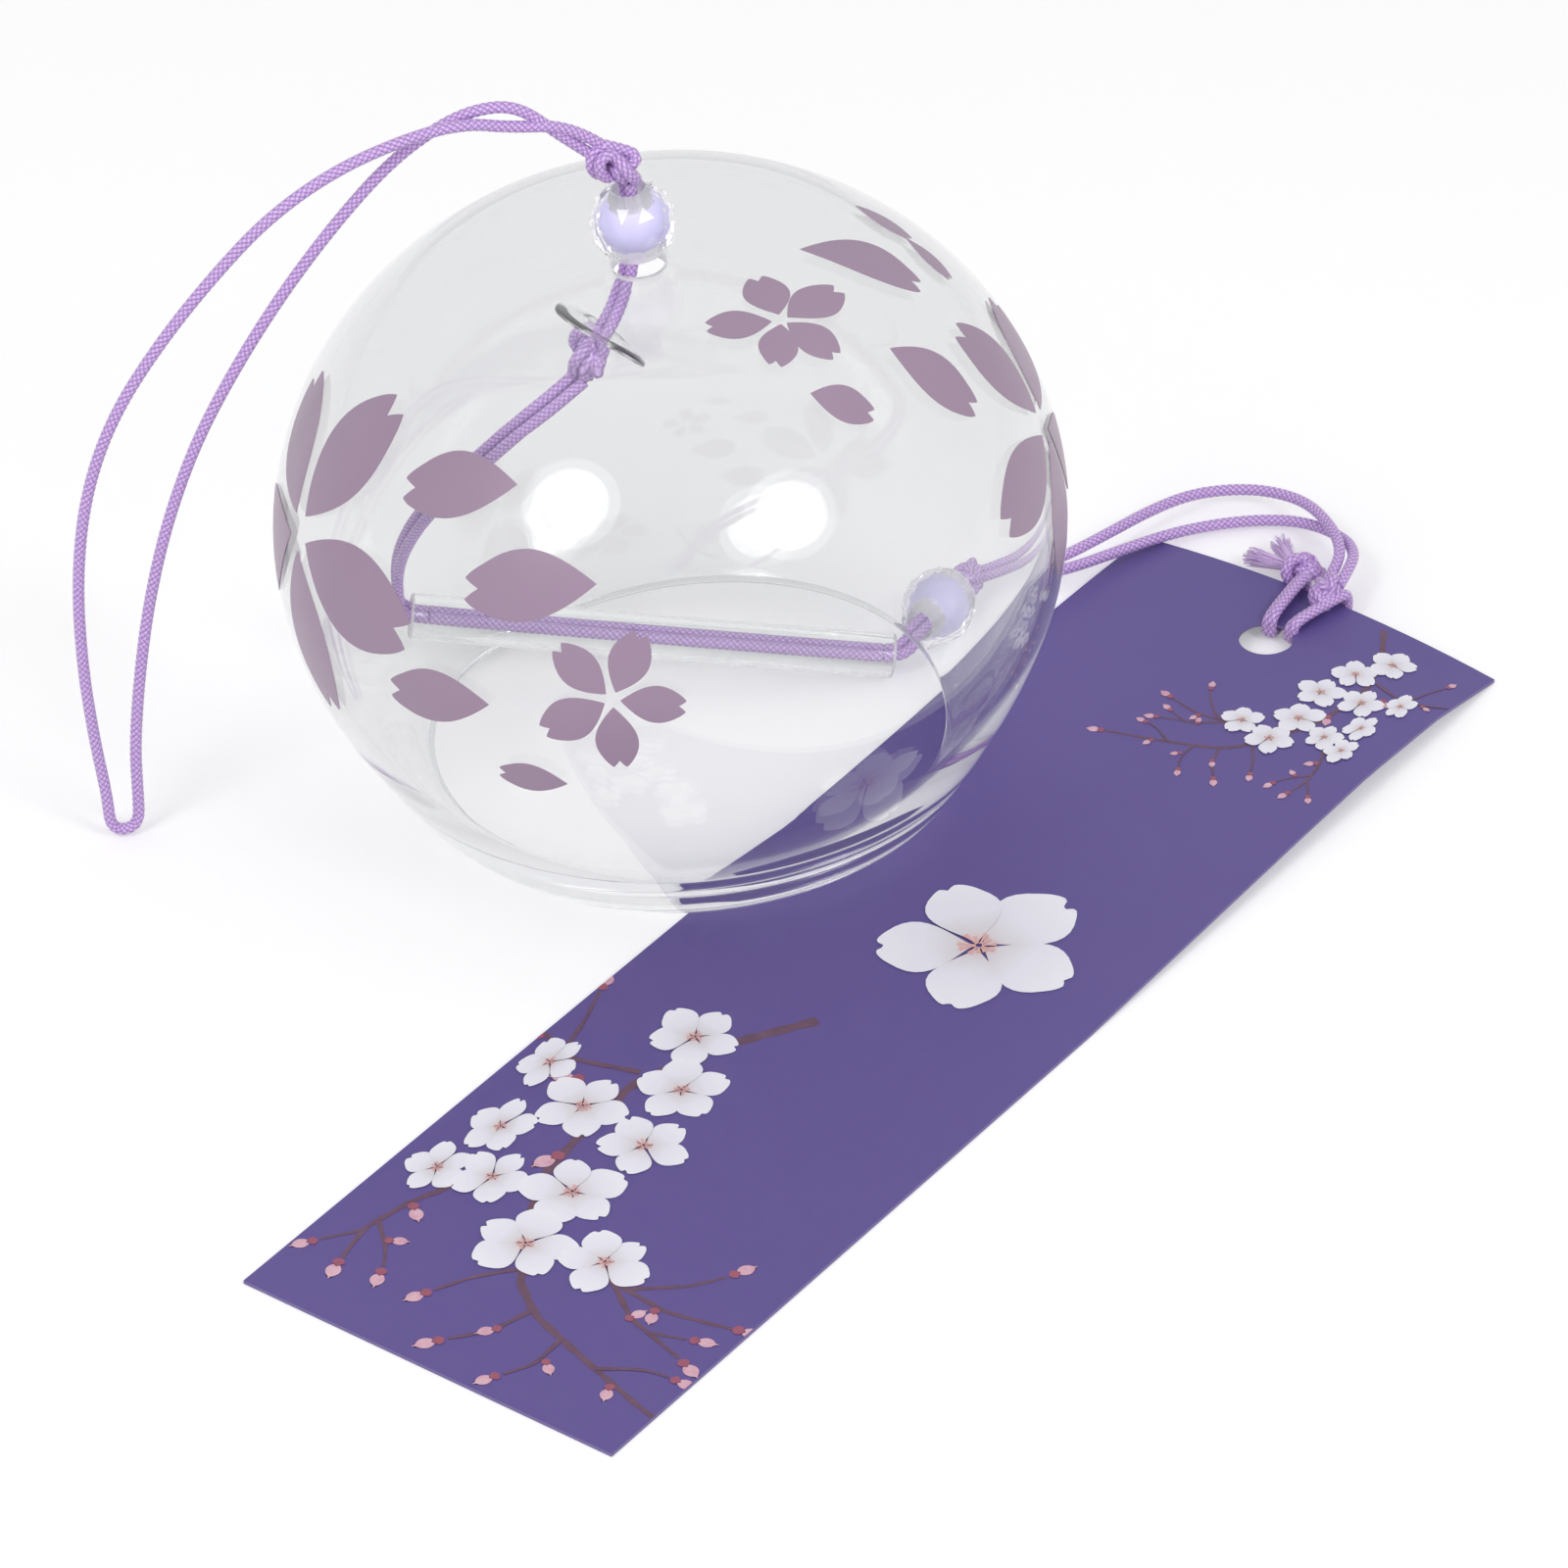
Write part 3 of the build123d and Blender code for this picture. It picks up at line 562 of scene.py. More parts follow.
glass_globe = turn_profile("glass_globe", globe_outline, MOUTH_PLACE, BELL_AXIS, BELL_ACROSS, GLOBE_SIDES,
                           blown_glass)
lip_shares = np.linspace(INNER_SWELL, 1.0, LIP_POINTS + 2)[1:-1]
outer_shares = np.ones(len(outer_side) + HOLE_POINTS)
shares = np.concatenate([outer_shares, np.full(len(inner_side), INNER_SWELL), lip_shares])
globe_points = np.array([v.co for v in glass_globe.data.vertices])
globe_points = swell_foot(globe_points, np.repeat(shares, GLOBE_SIDES))
glass_globe.data.vertices.foreach_set("co", globe_points.astype(np.float32).ravel())
glass_globe.data.update()
glass_globe.data.materials.append(ground_glass)
glass_globe.data.materials.append(inner_glass)
first_ground, first_inner = len(outer_side) - 1, len(outer_side) + HOLE_POINTS
first_lip = first_inner + len(inner_side) - 1
for face in glass_globe.data.polygons:
    ring = face.index // GLOBE_SIDES
    if first_ground <= ring < first_inner:
        face.material_index = 1
    elif first_inner <= ring < first_lip:
        face.material_index = 2
dress(glass_globe, "glass_bell", "bell")
print("globe", [round(2 * c / MM, 1) for c in (BELL_RADIUS, BELL_HALF_HEIGHT)])

# %% [markdown]
# ## Enamel petals on the globe
# The petals are cherry petals with a notched tip, printed on the glass. Each is a very
# thin closed patch: a flat grid with the petal's outline, laid against the wall and then
# pressed on to it from the globe's middle. That keeps the outline crisp from any side,
# which a painted texture would not.

# %% Petal helpers
GLOBE_MIDDLE = MOUTH_PLACE + BELL_AXIS * BELL_RISE
PETAL_LIFT = 0.02 * MM
PETAL_SKIN = 0.05 * MM
wall_lift = np.arctan2(outer_side[:, 1] - BELL_RISE, outer_side[:, 0])
wall_reach = np.hypot(outer_side[:, 1] - BELL_RISE, outer_side[:, 0])


def on_globe(points, lift):
    """Press points on to the globe from its middle, a lift above the glass."""
    offset = np.asarray(points) - GLOBE_MIDDLE
    x, y, z = offset @ BELL_ACROSS, offset @ BELL_AHEAD, offset @ BELL_AXIS
    rise = np.arctan2(z, np.hypot(x, y))
    reach = np.interp(rise, wall_lift, wall_reach) + lift
    return GLOBE_MIDDLE + offset / np.linalg.norm(offset, axis=-1, keepdims=True) * reach[..., None]


def globe_place(turn, rise):
    """Give the place on the globe at a turn round its axis and a rise from its middle."""
    turn, rise = math.radians(turn), math.radians(rise)
    level = BELL_ACROSS * math.cos(turn) + BELL_AHEAD * math.sin(turn)
    return on_globe(GLOBE_MIDDLE + level * math.cos(rise) + BELL_AXIS * math.sin(rise), 0.0)


NOTCH_SHIFT, NOTCH_HALF_WIDTH = 0.16, 0.5
TIP_ROUNDING, TIP_SLANT = 0.13, 0.055


def petal_grid(length, width, notch, hand=0.0, rows=16, columns=24, far=0.80, full=0.95):
    """Give a notched petal as a grid of (along, aside), from its pointed base to its tip."""
    aside = np.linspace(-1, 1, columns + 1)
    valley = np.clip(1 - np.abs(aside - NOTCH_SHIFT * hand) / NOTCH_HALF_WIDTH, 0, 1)
    lobes = 1 - notch * valley - TIP_ROUNDING * np.abs(aside) ** 2 + TIP_SLANT * hand * aside
    along = np.linspace(0.0, 1.0, rows + 1)
    half = np.sin(math.pi * far * along) ** full * width / 2
    u = along[:, None] * lobes[None, :] * length
    v = half[:, None] * aside[None, :]
    return u, v


def thin_patch(top, bottom):
    """Join two grids of points into one closed thin patch, as points and faces."""
    rows, columns = top.shape[:2]
    count = rows * columns
    index = np.arange(count).reshape(rows, columns)
    upper = np.stack([index[:-1, :-1], index[1:, :-1], index[1:, 1:], index[:-1, 1:]], -1).reshape(-1, 4)
    faces = [list(f) for f in upper] + [[i + count for i in f[::-1]] for f in upper]
    loop = list(index[0, :]) + list(index[1:, -1]) + list(index[-1, -2::-1]) + list(index[-2:0:-1, 0])
    for a, b in zip(loop, loop[1:] + loop[:1]):
        faces.append([a, b, b + count, a + count])
    return np.vstack([top.reshape(-1, 3), bottom.reshape(-1, 3)]), faces


def merged_piece(name, patches, materials, merge=0.002 * MM, values=None):
    """Join thin patches into one piece, with a material number and a stored value for each."""
    points, faces, numbers, stored, start = [], [], [], [], 0
    for patch_number, (patch_points, patch_faces, number) in enumerate(patches):
        points.append(patch_points)
        faces += [[i + start for i in f] for f in patch_faces]
        numbers += [number] * len(patch_faces)
        start += len(patch_points)
        if values is not None:
            stored.append(values[patch_number])
    piece = make_piece(name, np.vstack(points), faces, materials, smooth=False)
    piece.data.polygons.foreach_set("material_index", numbers)
    if values is not None:
        reach = piece.data.attributes.new("reach", "FLOAT", "POINT")
        reach.data.foreach_set("value", np.concatenate(stored).astype(np.float32))
    work = bmesh.new()
    work.from_mesh(piece.data)
    bmesh.ops.remove_doubles(work, verts=work.verts, dist=merge)
    bmesh.ops.recalc_face_normals(work, faces=work.faces)
    work.to_mesh(piece.data)
    work.free()
    return piece


def globe_petal(base, tip, width_share, hand=0.0, notch=0.14):
    """Lay one petal on the globe from its base to the bottom of its notch."""
    start, end = globe_place(*base), globe_place(*tip)
    way = end - start
    length = np.linalg.norm(way) / (1 - notch)
    way = unit(way)
    side = unit(np.cross((start + end) / 2 - GLOBE_MIDDLE, way))
    u, v = petal_grid(length, length * width_share, notch, hand)
    flat = start + u[..., None] * way + v[..., None] * side
    top = swell_foot(on_globe(flat, PETAL_LIFT + PETAL_SKIN), 1.0)
    return (*thin_patch(top, swell_foot(on_globe(flat, PETAL_LIFT), 1.0)), 0)


# %% Single petals and flowers
SINGLE_PETALS = [
    ((-114.6, 39.4), (-135.5, 34.8), 0.50, 1.0), ((-98.4, 26.2), (-118.1, 24.1), 0.50, 1.0),
    ((-115.4, 6.7), (-130.8, 4.9), 0.46, 1.0), ((-104.8, -5.3), (-113.9, -4.6), 0.48, 0.6),
    ((2.4, 62.5), (-0.5, 45.2), 0.44, -0.8), ((-25.3, 44.3), (-20.0, 30.1), 0.50, -1.0),
    ((-49.7, 46.7), (-41.2, 39.9), 0.56, -0.8), ((27.0, 50.0), (18.5, 43.5), 0.45, 0.5),
    ((17.0, 43.5), (9.9, 37.5), 0.45, -0.5),
]
FLOWERS = {
    "left": ((-160.4, 16.1), 0.52,
             [(-151.3, 40.4), (-132.6, 13.8), (-150.5, -6.0), (-184.0, -1.0), (-180.5, 29.1)]),
    "lower": ((-96.8, 9.4), 0.60,
              [(-92.4, 18.1), (-87.5, 7.8), (-96.7, -0.6), (-106.3, 4.4), (-103.9, 16.2)]),
    "upper": ((-38.7, 59.5), 0.64,
              [(-22.0, 67.5), (-18.6, 56.0), (-37.8, 50.1), (-51.4, 53.8), (-58.0, 65.5)]),
    "right": ((-4.6, 14.6), 0.52,
              [(-6.9, 34.1), (-26.1, 12.8), (-12.0, -4.5), (8.0, -1.5), (14.0, 24.0)]),
}
FLOWER_GAP = 0.12

patches = [globe_petal(*petal) for petal in SINGLE_PETALS]
for middle, width_share, tips in FLOWERS.values():
    for tip in tips:
        base = tuple(m + (t - m) * FLOWER_GAP for m, t in zip(middle, tip))
        patches.append(globe_petal(base, tip, width_share))
glass_petals = merged_piece("glass_petals", patches, [petal_enamel])
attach(glass_petals, "bell")
print("petals on the globe", len(patches))

# %% [markdown]
# ## Glass tube, beads and disc
# The tube is cut from drawn glass with softly melted ends. The beads are clear faceted
# plastic cast round a milky core, so the core looks larger than it is. The disc is a thin
# washer stamped from clear film, which never lies quite flat.

# %% Glass tube
TUBE_LEFT = np.array([-45.4246, 42.5881, 8.5840]) * MM
TUBE_WAY = unit([0.9892, 0.0518, -0.1374])
TUBE_ACROSS = np.array([0.1373, 0.0072, 0.9905])
TUBE_ACROSS = unit(TUBE_ACROSS - TUBE_WAY * (TUBE_ACROSS @ TUBE_WAY))
TUBE_LENGTH, TUBE_RADIUS, TUBE_BORE = 46.6 * MM, 2.2 * MM, 1.6 * MM
TUBE_SIDES, TUBE_POINTS, TUBE_END_POINTS = 64, 24, 6


def tube_outline(length, outer, inner):
    """Give a closed outline of a tube's wall with fully rounded ends."""
    wall = (outer - inner) / 2
    along = np.linspace(wall, length - wall, TUBE_POINTS)
    out = np.stack([np.full(TUBE_POINTS, outer), along], 1)
    back = np.stack([np.full(TUBE_POINTS, inner), along[::-1]], 1)
    far = rounded_end(out[-1], back[0], (0.0, 1.0), TUBE_END_POINTS)
    near = rounded_end(back[-1], out[0], (0.0, -1.0), TUBE_END_POINTS)
    return np.vstack([out, far, back, near])


glass_tube = turn_profile("glass_tube", tube_outline(TUBE_LENGTH, TUBE_RADIUS, TUBE_BORE), TUBE_LEFT,
                          TUBE_WAY, TUBE_ACROSS, TUBE_SIDES, drawn_glass)
glass_tube.data.materials.append(ground_glass)
tube_rings = len(glass_tube.data.polygons) // TUBE_SIDES
for face in glass_tube.data.polygons:
    ring = face.index // TUBE_SIDES
    if TUBE_POINTS - 1 <= ring < TUBE_POINTS + TUBE_END_POINTS or ring >= tube_rings - TUBE_END_POINTS - 1:
        face.material_index = 1
dress(glass_tube, "clapper_tube", "tube")

# %% Stopper disc
DISC_FOOT = np.array([-26.3711, 30.4042, 48.5237]) * MM
DISC_WAY = unit([0.5456, 0.3449, 0.7638])
DISC_RADIUS, DISC_BORE, DISC_THICK = 4.8 * MM, 1.4 * MM, 0.4 * MM
DISC_WARP, DISC_WARP_TURN, DISC_DISH = 0.22 * MM, 0.6, 0.6 * MM
DISC_RIM_BULGE, DISC_RIM_POINTS, DISC_SIDES = 0.6, 5, 72

disc_across = unit(np.cross(DISC_WAY, [0.0, 0.0, 1.0]))
flat_edge = DISC_RADIUS - DISC_THICK * DISC_RIM_BULGE / 2
disc_low = [(DISC_BORE, 0.0), (DISC_BORE * 1.6, 0.0), (DISC_RADIUS * 0.75, 0.0), (flat_edge, 0.0)]
disc_rim = rounded_end(np.array([flat_edge, 0.0]), np.array([flat_edge, DISC_THICK]),
                       (DISC_RIM_BULGE, 0.0), DISC_RIM_POINTS)
disc_high = [(r, DISC_THICK) for r, _ in disc_low[::-1]]
disc_outline = np.vstack([disc_low, disc_rim, disc_high])
stopper = turn_profile("stopper", disc_outline, DISC_FOOT, DISC_WAY, disc_across, DISC_SIDES, disc_plastic)
for vertex in stopper.data.vertices:
    offset = np.array(vertex.co) - DISC_FOOT
    flat_offset = offset - DISC_WAY * (offset @ DISC_WAY)
    reach = np.linalg.norm(flat_offset) / DISC_RADIUS
    turn = math.atan2(flat_offset @ np.cross(DISC_WAY, disc_across), flat_offset @ disc_across)
    rise = (DISC_WARP * math.cos(2 * turn + DISC_WARP_TURN) - DISC_DISH) * reach**2
    vertex.co = vertex.co + Vector(DISC_WAY * rise)
dress(stopper, "stopper_disc", "disc")

# %% Beads
BEAD_RADIUS, BEAD_BORE, CORE_RADIUS, CORE_BORE = 3.98 * MM, 1.6 * MM, 2.2 * MM, 1.4 * MM
BEAD_FACETS, BEAD_EDGE = 14, 0.06 * MM
BEAD_RISES = [-67.0, -48.0, -28.0, -9.0, 9.0, 28.0, 48.0, 67.0]
CORE_SIDES, CORE_POINTS, CORE_BORE_POINTS = 48, 40, 12
OFF_AXIS = [0.31, 0.52, 0.79]


def faceted_shell(name, centre, way, material):
    """Make a bored bead with flat triangular facets, ring over turned ring."""
    way = unit(way)
    across = unit(np.cross(way, OFF_AXIS))
    ahead = np.cross(way, across)
    rises = np.radians(BEAD_RISES)
    highest = BEAD_RADIUS * math.sin(rises[-1])
    rings = [(BEAD_RADIUS * math.cos(rise), BEAD_RADIUS * math.sin(rise), 0.5 * (ring % 2))
             for ring, rise in enumerate(rises)]
    rings = [(BEAD_BORE, -highest, 0.0), *rings, (BEAD_BORE, highest, 0.5)]
    points = []
    for radius, height, shift in rings:
        for facet in range(BEAD_FACETS):
            turn = (facet + shift) * 2 * math.pi / BEAD_FACETS
            spoke = across * math.cos(turn) + ahead * math.sin(turn)
            points.append(np.array(centre) + spoke * radius + way * height)
    faces = []
    count = len(rings)
    for ring in range(count):
        above = (ring + 1) % count
        lean = rings[above][2] - rings[ring][2]
        for facet in range(BEAD_FACETS):
            after = (facet + 1) % BEAD_FACETS
            a, b = ring * BEAD_FACETS + facet, ring * BEAD_FACETS + after
            c, d = above * BEAD_FACETS + after, above * BEAD_FACETS + facet
            if lean == 0:
                faces.append((a, b, c, d))
            elif lean > 0:
                faces += [(a, b, d), (b, c, d)]
            else:
                faces += [(a, b, c), (a, c, d)]
    piece = make_piece(name, points, faces, [material, ground_glass], smooth=False)
    bore_faces = 2 * BEAD_FACETS
    numbers = [0] * (len(faces) - bore_faces) + [1] * bore_faces
    piece.data.polygons.foreach_set("material_index", numbers)
    bevel = piece.modifiers.new("polished edges", "BEVEL")
    bevel.width = BEAD_EDGE
    bevel.segments = 1
    return piece


def bored_ball(name, centre, way, material):
    """Make a smooth ball with a bore."""
    way = unit(way)
    across = unit(np.cross(way, OFF_AXIS))
    edge_turn = math.acos(CORE_BORE / CORE_RADIUS)
    turns = np.linspace(-edge_turn, edge_turn, CORE_POINTS)
    outline = np.stack([CORE_RADIUS * np.cos(turns), CORE_RADIUS * np.sin(turns)], 1)
    wall = np.linspace(1, -1, CORE_BORE_POINTS)[1:-1] * CORE_RADIUS * math.sin(edge_turn)
    bore = np.stack([np.full(len(wall), CORE_BORE), wall], 1)
    return turn_profile(name, np.vstack([outline, bore]), centre, way, across, CORE_SIDES, material)


BEADS = {
    "top_bead": (np.array([-23.7215, 32.5747, 59.4308]) * MM, (-0.1129, 0.0079, 0.9936)),
    "lower_bead": (np.array([5.6990, 50.2276, 3.99]) * MM, (0.5878, 0.8090, 0.0)),
}
for bead_name, (centre, way) in BEADS.items():
    shell = faceted_shell(bead_name + "_clear", centre, way, bead_plastic)
    dress(shell, bead_name + "_shell", bead_name)
    core = bored_ball(bead_name + "_milk", centre, way, glowing_core_paint)
    dress(core, bead_name + "_core", bead_name)
print("beads", len(BEADS))

# %% [markdown]
# ## The cord
# The cord is one braided nylon cord, folded in half, so two strands run side by side
# through everything. Each stretch follows a smooth spline through the corner points of
# its route. Round that line goes a tube whose surface rises and falls as yarns would, six
# each way, over one and under the next. Real twisted yarns would need ten times the
# faces and would look the same at this size.

# %% Smooth lines and braided tubes
STRAND_RADIUS = 0.575 * MM
BRAID_YARNS = 6
BRAID_PITCH = 0.64 * MM
BRAID_DEPTH = 0.15
BRAID_SIDES = 24
BRAID_STEP = 0.09 * MM
END_PINCH = 0.6


def smooth_line(route):
    """Read the points of a smooth spline whose control points are the route's, in millimetres."""
    curve = bpy.data.curves.new("route", "CURVE")
    curve.dimensions = "3D"
    curve.resolution_u = 24
    spline = curve.splines.new("NURBS")
    spline.points.add(len(route) - 1)
    for point, place in zip(spline.points, route):
        point.co = (*[c * MM for c in place], 1.0)
    spline.order_u = min(3, len(route))
    spline.use_endpoint_u = True
    carrier = bpy.data.objects.new("route", curve)
    scene.collection.objects.link(carrier)
    read = bpy.data.meshes.new_from_object(carrier)
    line = np.array([v.co for v in read.vertices])
    bpy.data.objects.remove(carrier)
    bpy.data.curves.remove(curve)
    bpy.data.meshes.remove(read)
    return line


def even_steps(line, step):
    """Give points at even distances along a line, and those distances."""
    gaps = np.linalg.norm(np.diff(line, axis=0), axis=1)
    keep = np.concatenate([[True], gaps > 1e-9])
    line = line[keep]
    run = np.concatenate([[0.0], np.cumsum(np.linalg.norm(np.diff(line, axis=0), axis=1))])
    count = max(4, int(round(run[-1] / step)) + 1)
    even = np.linspace(0, run[-1], count)
    return np.stack([np.interp(even, run, line[:, i]) for i in range(3)], 1), even


def side_ways(points, first_side=None):
    """Carry a side direction along a line without letting it twist."""
    ways = np.gradient(points, axis=0)
    ways /= np.linalg.norm(ways, axis=1, keepdims=True)
    side = np.cross(ways[0], [0.3, 0.2, 0.93]) if first_side is None else np.array(first_side, float)
    sides = np.empty_like(points)
    for i, way in enumerate(ways):
        side = side - way * (side @ way)
        side = side / np.linalg.norm(side)
        sides[i] = side
    return ways, sides


def braid_height(around, along):
    """Give the height of a plain braid, from 0 in its gaps to 1 on top of a yarn."""
    right = BRAID_YARNS * around + along / BRAID_PITCH
    left = BRAID_YARNS * around - along / BRAID_PITCH
    right_cell, left_cell = np.floor(right), np.floor(left)
    across_right = np.cos(math.pi * (right - right_cell - 0.5))
    across_left = np.cos(math.pi * (left - left_cell - 0.5))
    right_on_top = (right_cell + left_cell) % 2 == 0
    over = np.where(right_on_top, across_right, across_left)
    under = np.where(right_on_top, across_left, across_right)
    return over * (0.45 + 0.55 * under)


def braided_points(line, radius, step=BRAID_STEP, first_side=None):
    """Give a braided tube round a line as points, faces, braid heights and map places."""
    points, along = even_steps(line, step)
    ways, sides = side_ways(points, first_side)
    others = np.cross(ways, sides)
    around = np.arange(BRAID_SIDES) / BRAID_SIDES
    height = braid_height(around[None, :], along[:, None])
    reach = radius * (1 - BRAID_DEPTH + BRAID_DEPTH * height)
    reach[[0, -1]] *= END_PINCH
    turn = around * 2 * math.pi
    spokes = np.cos(turn)[None, :, None] * sides[:, None] + np.sin(turn)[None, :, None] * others[:, None]
    tube = points[:, None] + reach[..., None] * spokes
    rings = len(points)
    faces = ring_faces(rings, BRAID_SIDES)
    row, column = np.divmod(np.arange((rings - 1) * BRAID_SIDES), BRAID_SIDES)
    low, high = along[row] / BRAID_PITCH, along[row + 1] / BRAID_PITCH
    left, right = column / BRAID_SIDES, (column + 1) / BRAID_SIDES
    maps = np.stack([np.stack([low, left], 1), np.stack([low, right], 1),
                     np.stack([high, right], 1), np.stack([high, left], 1)], 1).reshape(-1, 2)
    return tube.reshape(-1, 3), faces, height.reshape(-1), maps


def braided_piece(name, tubes, material):
    """Make one piece from braided tubes, closed at both ends, with its stored heights and map."""
    points, faces, caps, painted_lightness, maps, start = [], [], [], [], [], 0
    for tube_points, tube_faces, tube_heights, tube_maps in tubes:
        points.append(tube_points)
        faces.append(tube_faces + start)
        painted_lightness.append(tube_heights)
        maps.append(tube_maps)
        first = start + np.arange(BRAID_SIDES)
        caps.append(list(first[::-1]))
        caps.append(list(start + len(tube_points) - BRAID_SIDES + np.arange(BRAID_SIDES)))
        start += len(tube_points)
    all_faces = [list(f) for f in np.vstack(faces)] + caps
    piece = make_piece(name, np.vstack(points), all_faces, [material])
    height = piece.data.attributes.new("braid", "FLOAT", "POINT")
    height.data.foreach_set("value", np.concatenate(painted_lightness).astype(np.float32))
    layer = piece.data.uv_layers.new(name="UVMap")
    map_places = np.vstack([np.vstack(maps), np.zeros((BRAID_SIDES * len(caps), 2))])
    layer.data.foreach_set("uv", map_places.astype(np.float32).ravel())
    return piece


def line_length(line):
    """Give the length of a line of points."""
    return float(np.linalg.norm(np.diff(line, axis=0), axis=1).sum())


def lay_strand(name, node, line):
    """Braid one strand along a line in the place of its plain solid."""
    strand = braided_piece(name, [braided_points(line, STRAND_RADIUS)], cord_yarn)
    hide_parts(node)
    return strand


# %% Hanging loop
LOOP_ROUTE = [
    (-27.42, 31.78, 67.13), (-30.10, 31.03, 69.57), (-33.83, 30.41, 73.09), (-37.46, 29.64, 73.29),
    (-41.02, 28.65, 71.99), (-45.36, 27.45, 68.89), (-50.16, 26.04, 63.49), (-54.95, 24.61, 56.99),
    (-59.15, 23.29, 50.19), (-63.07, 22.10, 42.59), (-66.03, 21.17, 33.99), (-67.96, 20.64, 25.19),
    (-69.09, 20.22, 16.79), (-69.67, 20.06, 9.49), (-69.57, 20.09, 4.69), (-69.57, 20.09, 0.74),
    (-72.17, 19.37, 0.74), (-72.37, 19.31, 4.79), (-73.33, 19.04, 11.79), (-74.07, 18.73, 20.39),
    (-74.14, 18.61, 29.79), (-73.06, 18.81, 38.79), (-70.43, 19.43, 46.79), (-65.97, 20.57, 54.09),
    (-60.83, 21.87, 60.69), (-55.72, 23.28, 66.09), (-49.46, 25.02, 70.09), (-42.62, 26.92, 72.29),
    (-38.22, 28.26, 72.59), (-34.73, 29.54, 71.39), (-29.30, 31.26, 70.52), (-26.62, 32.00, 68.08),
]

loop_line = smooth_line(LOOP_ROUTE)
loop_cord = lay_strand("loop_cord", "hanging_loop", loop_line)
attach(loop_cord, "loop")
print("loop length in mm", round(line_length(loop_line) / MM, 1))

# %% Drop strands through the top bead and the hole
DROP_ROUTES = {
    "drop_cord_left": ("drop_strand_left", [
        (-23.94, 32.06, 63.99), (-22.72, 31.97, 53.26), (-26.13, 29.82, 48.49)]),
    "drop_cord_right": ("drop_strand_right", [
        (-24.53, 33.16, 63.91), (-23.31, 33.08, 53.18), (-26.72, 30.92, 48.41)]),
}

for cord_name, (node, route) in DROP_ROUTES.items():
    strand = lay_strand(cord_name, node, smooth_line(route))
    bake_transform(strand)

# %% Lead strands along the glass
LEAD_ROUTES = {
    "lead_cord_near": ("lead_strand_near", 46.2, [
        (-28.05, 29.09, 44.66), (-30.28, 28.71, 42.45), (-33.49, 28.97, 39.26), (-37.75, 30.89, 33.61),
        (-41.37, 33.51, 28.17), (-43.94, 36.09, 23.23), (-45.62, 38.56, 18.47), (-46.31, 40.32, 14.66),
        (-46.33, 41.17, 11.32), (-46.21, 41.90, 9.05), (-43.56, 42.05, 8.68)]),
    "lead_cord_far": ("lead_strand_far", 46.4, [
        (-28.64, 30.13, 45.07), (-30.63, 29.78, 43.06), (-33.70, 30.03, 39.94), (-37.85, 31.90, 34.40),
        (-41.43, 34.48, 29.02), (-44.05, 37.11, 23.98), (-45.77, 39.64, 19.13), (-46.48, 41.48, 15.14),
        (-46.48, 42.29, 11.93), (-46.32, 43.18, 9.06), (-43.63, 43.31, 8.68)]),
}

for cord_name, (node, length, route) in LEAD_ROUTES.items():
    line = smooth_line(route)
    strand = lay_strand(cord_name, node, line)
    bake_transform(strand)
    print(cord_name, round(line_length(line) / MM, 1))

# %% Strands inside the tube
CLAPPER_ROUTES = {
    "clapper_cord_near": ("clapper_strand_near", [(-43.56, 42.05, 8.68), (-0.44, 44.31, 2.69)]),
    "clapper_cord_far": ("clapper_strand_far", [(-43.63, 43.31, 8.68), (-0.50, 45.57, 2.69)]),
}

for cord_name, (node, route) in CLAPPER_ROUTES.items():
    strand = lay_strand(cord_name, node, np.array(route) * MM)
    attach(strand, "clapper")

# %% Link strands from the tube through the lower bead
LINK_ROUTES = {
    "link_cord_near": ("link_strand_near", [
        (-0.44, 44.31, 2.69), (1.60, 44.44, 2.39), (3.35, 45.95, 3.86), (9.03, 53.74, 3.85)]),
    "link_cord_far": ("link_strand_far", [
        (-0.50, 45.57, 2.69), (1.02, 45.64, 2.49), (2.58, 46.98, 3.84), (8.01, 54.48, 3.85)]),
}

for cord_name, (node, route) in LINK_ROUTES.items():
    strand = lay_strand(cord_name, node, smooth_line(route))
    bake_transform(strand)

# %% Tail strands behind the strip
TAIL_ROUTES = {
    "tail_cord_upper": ("tail_strand_upper", 52.7, [
        (10.14, 56.46, 3.74), (12.76, 57.89, 3.44), (16.40, 60.30, 3.10), (20.90, 64.90, 2.70),
        (25.00, 69.30, 2.30), (28.90, 72.50, 2.00), (32.70, 73.80, 1.80), (36.50, 73.30, 2.10),
        (40.20, 70.30, 2.90), (42.30, 65.40, 3.60), (43.10, 61.60, 3.90), (42.86, 58.59, 3.84),
        (41.58, 55.66, 3.58)]),
    "tail_cord_lower": ("tail_strand_lower", 49.2, [
        (10.74, 55.36, 3.74), (13.36, 56.78, 3.44), (17.00, 59.30, 2.50), (22.00, 63.60, 1.60),
        (26.80, 66.90, 1.30), (31.60, 69.10, 1.00), (36.40, 69.90, 1.00), (40.40, 68.40, 1.70),
        (43.60, 64.80, 2.50), (44.50, 61.30, 3.30), (44.01, 58.08, 3.84), (42.73, 55.16, 3.58)]),
}

for cord_name, (node, length, route) in TAIL_ROUTES.items():
    line = smooth_line(route)
    strand = lay_strand(cord_name, node, line)
    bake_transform(strand)
    print(cord_name, round(line_length(line) / MM, 1))

# %% [markdown]
# ## Knots
# Every knot is an overhand knot tied with both strands together. Its line goes in at one
# end, round three lobes and out at the other end, which is how such a knot lies when it
# is pulled tight. The two strands follow that line side by side.

